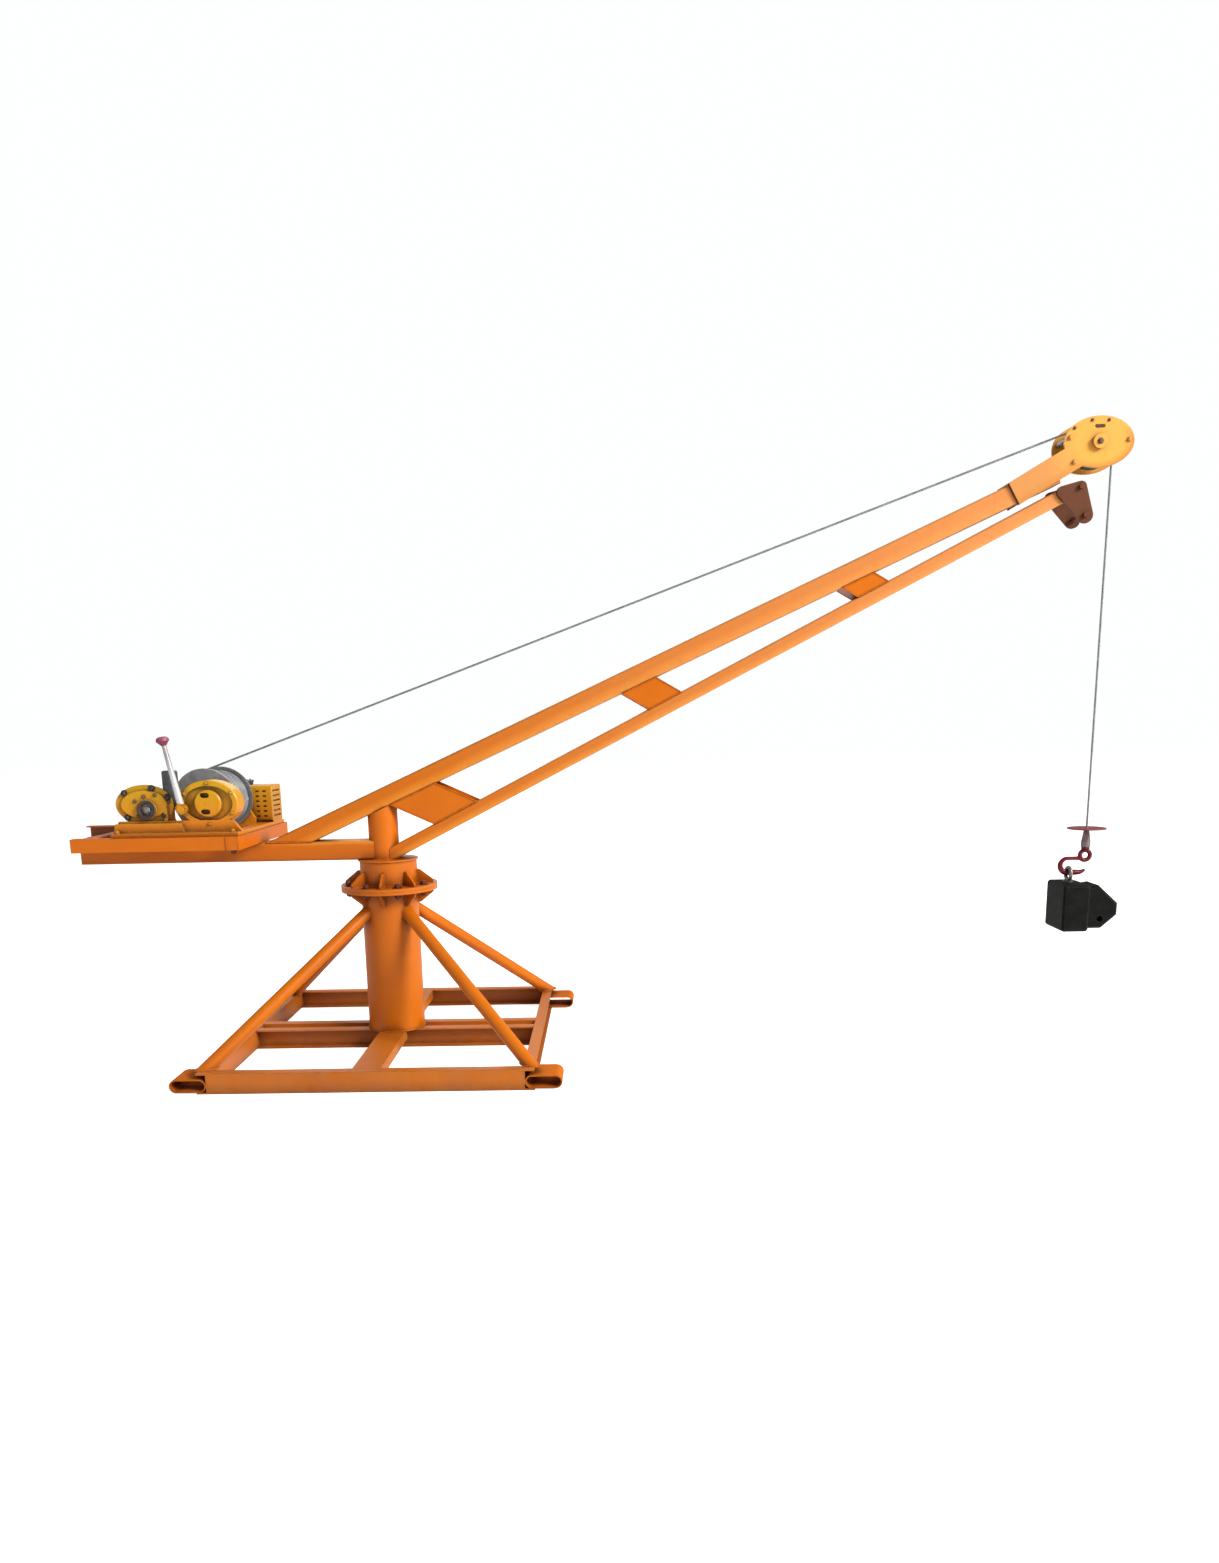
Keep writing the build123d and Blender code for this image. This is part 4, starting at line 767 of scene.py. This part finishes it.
HUB_X, HUB_Z = -0.822, 0.965
HUB_SECTION = (
    (-0.0005, 0.0345), (0.0035, 0.0345), (0.005, 0.033),
    (0.005, 0.0255), (0.003, 0.0235), (-0.0005, 0.0235),
)
hub_ring = collar(HUB_X, hub_y, HUB_Z, HUB_SECTION)
piece("hub_ring", [hub_ring], "arm", dark_steel)
nut_steel = metal("grey_nut", tint(168, 164, 168), tint(120, 112, 112), 0.4, 0.6, 1.0)
hub_nut = hexagon((HUB_X, cover_y, HUB_Z), FRONT, 0.0145, 0.0105, washer=1.5)
piece("hub_nut", hub_nut, "arm", nut_steel, smooth=False)

# Painted screws: six small hexagon screws in the brake cover's rim and larger bolts
# through the bed's feet, all put in before the winch got its amber enamel.
WHEEL_X, WHEEL_Z = -0.598, 0.983
WHEEL_HALF = (0.1, 0.074)
WHEEL_SCREWS = 6
BED_TOP = 0.881
BED_FRONT_X, BED_FRONT_Y = (-0.760, -0.560), 0.140
BED_CORNER_X, BED_CORNER_Y = (-0.930, -0.505), (-0.262, 0.258)
painted_screws = []
for step in range(WHEEL_SCREWS):
    angle = 2 * math.pi * (step + 0.5) / WHEEL_SCREWS
    x = WHEEL_X + WHEEL_HALF[0] * math.cos(angle)
    z = WHEEL_Z + WHEEL_HALF[1] * math.sin(angle)
    painted_screws += hexagon((x, cover_y, z), FRONT, 0.0058, 0.005, washer=1.2)
for x in BED_FRONT_X:
    painted_screws += hexagon((x, BED_FRONT_Y, BED_TOP), UP, 0.010, 0.010)
for x in BED_CORNER_X:
    for y in BED_CORNER_Y:
        painted_screws += hexagon((x, y, BED_TOP), UP, 0.009, 0.009, washer=1.3)
piece("painted_screws", painted_screws, "arm", yellow, smooth=False)


# The drum, the slewing pin and ring, and the spacers in the head: turned steel. The
# clutch block and the motor are cast housings in dark grey, the motor with radial fins.
turned = metal("turned_steel", tint(176, 178, 184), tint(132, 134, 142), 0.4, 0.55, 0.6)
coat(turned, "winch_drum", "slew_pin", "bearing_ring", "cheek_spacers")
housing = metal("grey_housing", tint(98, 100, 104), tint(60, 60, 64), 0.5, 0.2, 1.5)
coat(housing, "motor_body", "motor_foot", "terminal_box", "clutch_block")

# Motor screws: four small bright steel screws hold the terminal box's lid, one in
# each corner, with their washers set a little into the lid.
LID_INSET, LID_SUNK = 0.012, 0.0005
lid_low, lid_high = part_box("terminal_box")
motor_screws = []
for x in (lid_low.x + LID_INSET, lid_high.x - LID_INSET):
    for y in (lid_low.y + LID_INSET, lid_high.y - LID_INSET):
        motor_screws += hexagon((x, y, lid_high.z - LID_SUNK), UP, 0.0045, 0.004, washer=1.2)
piece("motor_screws", motor_screws, "arm", turned, smooth=False)


# The brake lever: a tapered polished tube on a hub that was painted with the winch. Its
# moulded knob is a dull mauve red, and a pin in the winch's enamel holds the hub.
LEVER_HUB_TOP, LEVER_HUB_FADE = 0.985, 0.004
LEVER_DARKER_FROM, LEVER_DARKER_DEPTH = 1.08, 0.08
UPPER_STEEL_TONE = tint(136, 128, 136)


def polished_tube(name, pale, dark, paint, grime):
    """Polished steel above the hub, darker in colour upward, and thin greasy enamel on the hub
    itself.
    """
    finish, shader, place = bare_finish(name)
    hub = (1.0 - rise_over(place, LEVER_HUB_TOP, 0.0, LEVER_HUB_FADE)).held()
    haze = place.patches(0.35, 1.8, 40.0, 4.0)
    darker_upward = rise_over(place, LEVER_DARKER_FROM, 0.0, LEVER_DARKER_DEPTH).held() * 0.7
    steel = darker_upward.blend(haze.blend(pale, dark), UPPER_STEEL_TONE)
    enamel = place.patches(0.35, 2.0, 70.0, 4.0).blend(paint, grime)
    scratches = place.stretched(1.0, 1.0, 0.1).noise(300.0)
    plug(shader, "Base Color", hub.blend(steel, enamel))
    plug(shader, "Metallic", (0.3 - hub * 0.3).held())
    plug(shader, "Roughness", (haze * 0.04 + 0.3 + hub * 0.15).held())
    relief(shader, scratches, 0.03, 0.0002)
    return finish


lever_finish = polished_tube(
    "polished_tube", tint(220, 220, 224), tint(206, 207, 212), tint(214, 138, 8), OIL_AND_SHADE_BROWN
)
coat(lever_finish, "brake_lever")
coat(yellow, "lever_pin")


def moulded_plastic(name, fresh, dusty):
    """Moulded knob: soft gloss, paler where dust lies on top and in scratches."""
    finish, shader, place = bare_finish(name)
    upward = place.node("NewGeometry", out="Normal").along(2)
    dust = ((upward * 0.5 + place.noise(60.0, 4.0) - 0.35) * 1.1).held()
    plug(shader, "Base Color", dust.blend(fresh, dusty))
    plug(shader, "Roughness", (dust * 0.3 + 0.32).held())
    relief(shader, place.noise(240.0, 3.0), 0.12, 0.0008)
    return finish


coat(moulded_plastic("mauve_knob", tint(128, 58, 82), tint(178, 112, 134)), "lever_knob")


# The head: two oval cheeks in a yellower enamel that was sprayed over the orange of their
# arms, a brown steel sheave between them, and two dark brown plates on the lower chord.
CHEEK_ARM_RUN = (0.914, 0.405)
CHEEK_ARM_START = 0.07
CHEEK_OVAL = (67.0, 135.0)


def cheek_enamel(name, head, arm, rim, primer_and_shade):
    """Yellow enamel round the axle that turns to orange down the arm, with painted shade in
    orange on the lower right rim and painted shade in corners.
    """
    finish, shader, place = bare_finish(name)
    x = place.along(0) - float(sheave_at[0])
    z = place.along(2) - float(sheave_at[2])
    cloud = (place.noise(14.0, 4.0, 0.6) - 0.5) * 0.5
    down_arm = 0.0 - x * CHEEK_ARM_RUN[0] - z * CHEEK_ARM_RUN[1] - CHEEK_ARM_START
    down_arm = (down_arm * 8.0 + cloud).held()
    # Painted shade on the lower right part of the rim, in the rim colour.
    rimmed = (x * x * CHEEK_OVAL[0] + z * z * CHEEK_OVAL[1] - 0.55) * 2.4
    lower_right_shade = rimmed.held() * ((x - z * 1.6) * 9.0).held()
    colour = (down_arm * 0.85).blend(head, arm)
    colour = (lower_right_shade * 0.8).blend(colour, rim)
    rounded, bare = worn_edges(place, 0.0025, 0.05)
    colour = (bare * 0.6).blend(colour, primer_and_shade)
    colour = (crevice_shade(place, 0.03, 1.4) * 0.7).blend(colour, primer_and_shade)
    specks = place.patches(0.66, 8.0, 60.0, 3.0, 0.7)
    colour = (specks * 0.2).blend(colour, rim)
    plug(shader, "Base Color", colour)
    plug(shader, "Roughness", (place.noise(11.0, 4.0) * 0.2 + 0.3).held())
    orange_peel(shader, place, rounded)
    plug(shader, "Coat Weight", 0.2)
    return finish


cheek_paint = cheek_enamel(
    "cheek_enamel", tint(228, 164, 62), tint(206, 134, 72), tint(192, 116, 26), tint(104, 56, 16)
)
coat(cheek_paint, "cheek_front", "cheek_back", "sheave_axle")
sheave_steel = metal("sheave_steel", tint(104, 74, 44), tint(66, 44, 26), 0.5, 0.35, 1.5)
coat(sheave_steel, "head_sheave")
brown_primer = sprayed_enamel(
    "brown_primer", tint(112, 58, 26), tint(82, 42, 20), tint(60, 30, 14), gloss=0.55, share=0.25
)
coat(brown_primer, "tip_bracket")

# Head fasteners: painted nuts on the ends of the three spacers, small rusty bolts along
# the upper rim of both cheeks, and a rusty screw in the middle of each end of the axle.
SPACERS = ((-0.103, 0.015), (0.103, 0.005), (-0.084, -0.066))
RIM_BOLTS = ((-0.088, 0.047), (-0.028, 0.072), (0.030, 0.071))
cheek_front_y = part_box("cheek_front")[0].y


def on_both_cheeks(places, corner_r, height):
    """Hexagons at places given from the axle, on the outer face of each cheek."""
    fasteners = []
    for x, z in places:
        for y, facing in ((cheek_front_y, -1), (-cheek_front_y, 1)):
            spot = (sheave_at[0] + x, y, sheave_at[2] + z)
            fasteners += hexagon(spot, (0, facing, 0), corner_r, height, washer=1.3)
    return fasteners


spacer_nuts = on_both_cheeks(SPACERS, 0.0068, 0.006)
piece("spacer_nuts", spacer_nuts, "arm", cheek_paint, smooth=False)
rim_bolts = on_both_cheeks(RIM_BOLTS, 0.0045, 0.0045)
piece("cheek_rim_bolts", rim_bolts, "arm", rust_steel, smooth=False)
axle_low, axle_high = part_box("sheave_axle")
axle_screws = []
for y, facing in ((axle_low.y, -1), (axle_high.y, 1)):
    spot = (sheave_at[0], y, sheave_at[2])
    axle_screws += hexagon(spot, (0, facing, 0), 0.0085, 0.006, washer=1.25)
piece("axle_screws", axle_screws, "arm", rust_steel, smooth=False)

# Head welds: one fillet across the lower end of each cheek's arm, where it laps over
# the side of the top chord.
LAP_WELD_PROUD = 0.002
arm_end = front_corners("cheek_front")
lap_low = arm_end[np.argmin(arm_end[:, 1])]
lap_high = arm_end[np.argmin(arm_end[:, 0])]
lap_welds = []
for y in (-half_arm - LAP_WELD_PROUD, half_arm + LAP_WELD_PROUD):
    lap_welds.append(bead(seam(lap_low, lap_high, y), radius=0.0036))
piece("head_welds", lap_welds, "arm", bolt_brown)


# The load end: a pressed steel stop disc in worn red, a wire rope socket, and a forged
# hook in dark red that holds a black cast test weight by its galvanised eye.
disc_enamel = sprayed_enamel(
    "worn_disc_enamel", tint(150, 62, 62), tint(112, 60, 62), tint(120, 114, 116),
    gloss=0.5, share=0.35,
)
coat(disc_enamel, "stop_disc")
socket_steel = metal("socket_steel", tint(156, 142, 146), tint(112, 96, 100), 0.42, 0.5, 1.0)
coat(socket_steel, "rope_socket")
hook_enamel = sprayed_enamel(
    "hook_enamel", tint(122, 14, 36), tint(84, 14, 30), tint(46, 22, 26), gloss=0.36, share=0.12
)
coat(hook_enamel, "hook", "swivel_collar")
weight_black = metal(
    "black_cast_iron", tint(24, 25, 27), tint(6, 6, 7), 0.6, 0.0, 3.0, shine=0.12, rub=0.15
)
coat(weight_black, "weight_block", "weight_nose")
eye_steel = metal("galvanised_eye", tint(150, 146, 148), tint(96, 92, 94), 0.4, 0.6, 1.0)
coat(eye_steel, "weight_eye")


# Floor and light: a white studio floor and surround that the camera sees brighter than
# the part does, a broad key from the right, a low fill from the left and a rim behind.
FLOOR_HALF = 30.0
floor_corners = [(sign_x * FLOOR_HALF, sign_y * FLOOR_HALF, 0) for sign_x, sign_y in CORNERS]
floor_mesh = bpy.data.meshes.new("floor")
floor_mesh.from_pydata(floor_corners, [], [(0, 2, 3, 1)])
floor = bpy.data.objects.new("floor", floor_mesh)
bpy.context.scene.collection.objects.link(floor)
floor_finish, floor_shader, floor_place = bare_finish("pale_floor")
floor_cloud = floor_place.noise(0.7) * 0.15
floor_white = floor_cloud.blend(tint(250, 251, 252), tint(242, 244, 246))
plug(floor_shader, "Base Color", floor_white)
plug(floor_shader, "Roughness", 0.9)
plug(floor_shader, "Emission Color", tint(255, 255, 255))
floor_seen = floor_place.node("LightPath", out="Is Camera Ray")
plug(floor_shader, "Emission Strength", floor_seen * 0.8)
floor_mesh.materials.append(floor_finish)

world = bpy.data.worlds.new("studio")
world.use_nodes = True
surround = world.node_tree.nodes["Background"]
plug(surround, "Color", (0.99, 0.995, 1.0, 1.0))
world_seen = Wire(world.node_tree).node("LightPath", out="Is Camera Ray")
plug(surround, "Strength", world_seen * 0.68 + 0.32)
bpy.context.scene.world = world


def softbox(name, place, target, size, power, colour):
    """A square area light that faces a point."""
    lamp = bpy.data.lights.new(name, "AREA")
    lamp.size = size
    lamp.energy = power
    lamp.color = colour
    holder = bpy.data.objects.new(name, lamp)
    holder.location = place
    holder.rotation_euler = (Vector(target) - Vector(place)).to_track_quat("-Z", "Y").to_euler()
    bpy.context.scene.collection.objects.link(holder)


softbox(
    "key", place=(13.4, -7.0, 9.2), target=(0.6, 0, 0.9),
    size=5.5, power=3700.0, colour=(1.0, 0.96, 0.86),
)
softbox(
    "fill", place=(-4.5, -4.0, 2.6), target=(0.2, 0, 0.8),
    size=3.0, power=30.0, colour=(1.0, 0.97, 0.92),
)
softbox(
    "rim", place=(-1.0, 4.5, 4.2), target=(0.6, 0, 1.0),
    size=3.0, power=110.0, colour=(1.0, 0.98, 0.95),
)
bpy.context.scene.view_settings.view_transform = "Standard"

# Camera: the photograph's view, from about breast height and 4 m in front of the arm.
# Its turn, focus and centre come from a fit to the base and the boom, in picture pixels.
EYE = Vector((0.8732, -4.1387, 1.2412))
YAW, PITCH, ROLL = (math.radians(angle) for angle in (1.48, 11.06, 1.26))
PICTURE_WIDTH, PICTURE_HEIGHT = 1219, 1563
FOCUS_PX = 1075.6
CENTRE_PX = (587.0, 933.3)
SENSOR_HEIGHT = 36.0
forward = Vector((
    -math.sin(YAW) * math.cos(PITCH), math.cos(YAW) * math.cos(PITCH), -math.sin(PITCH)
))
level = Vector((math.cos(YAW), math.sin(YAW), 0.0))
above = level.cross(forward)
right = level * math.cos(ROLL) - above * math.sin(ROLL)
upward = level * math.sin(ROLL) + above * math.cos(ROLL)
lens = bpy.data.cameras.new("view")
lens.sensor_fit = "VERTICAL"
lens.sensor_height = SENSOR_HEIGHT
lens.lens = FOCUS_PX / PICTURE_HEIGHT * SENSOR_HEIGHT
lens.shift_x = (PICTURE_WIDTH / 2 - CENTRE_PX[0]) / PICTURE_HEIGHT
lens.shift_y = (CENTRE_PX[1] - PICTURE_HEIGHT / 2) / PICTURE_HEIGHT
camera = bpy.data.objects.new("view", lens)
turned_view = Matrix((right, upward, -forward)).transposed().to_4x4()
camera.matrix_world = Matrix.Translation(EYE) @ turned_view
bpy.context.scene.collection.objects.link(camera)
bpy.context.scene.camera = camera
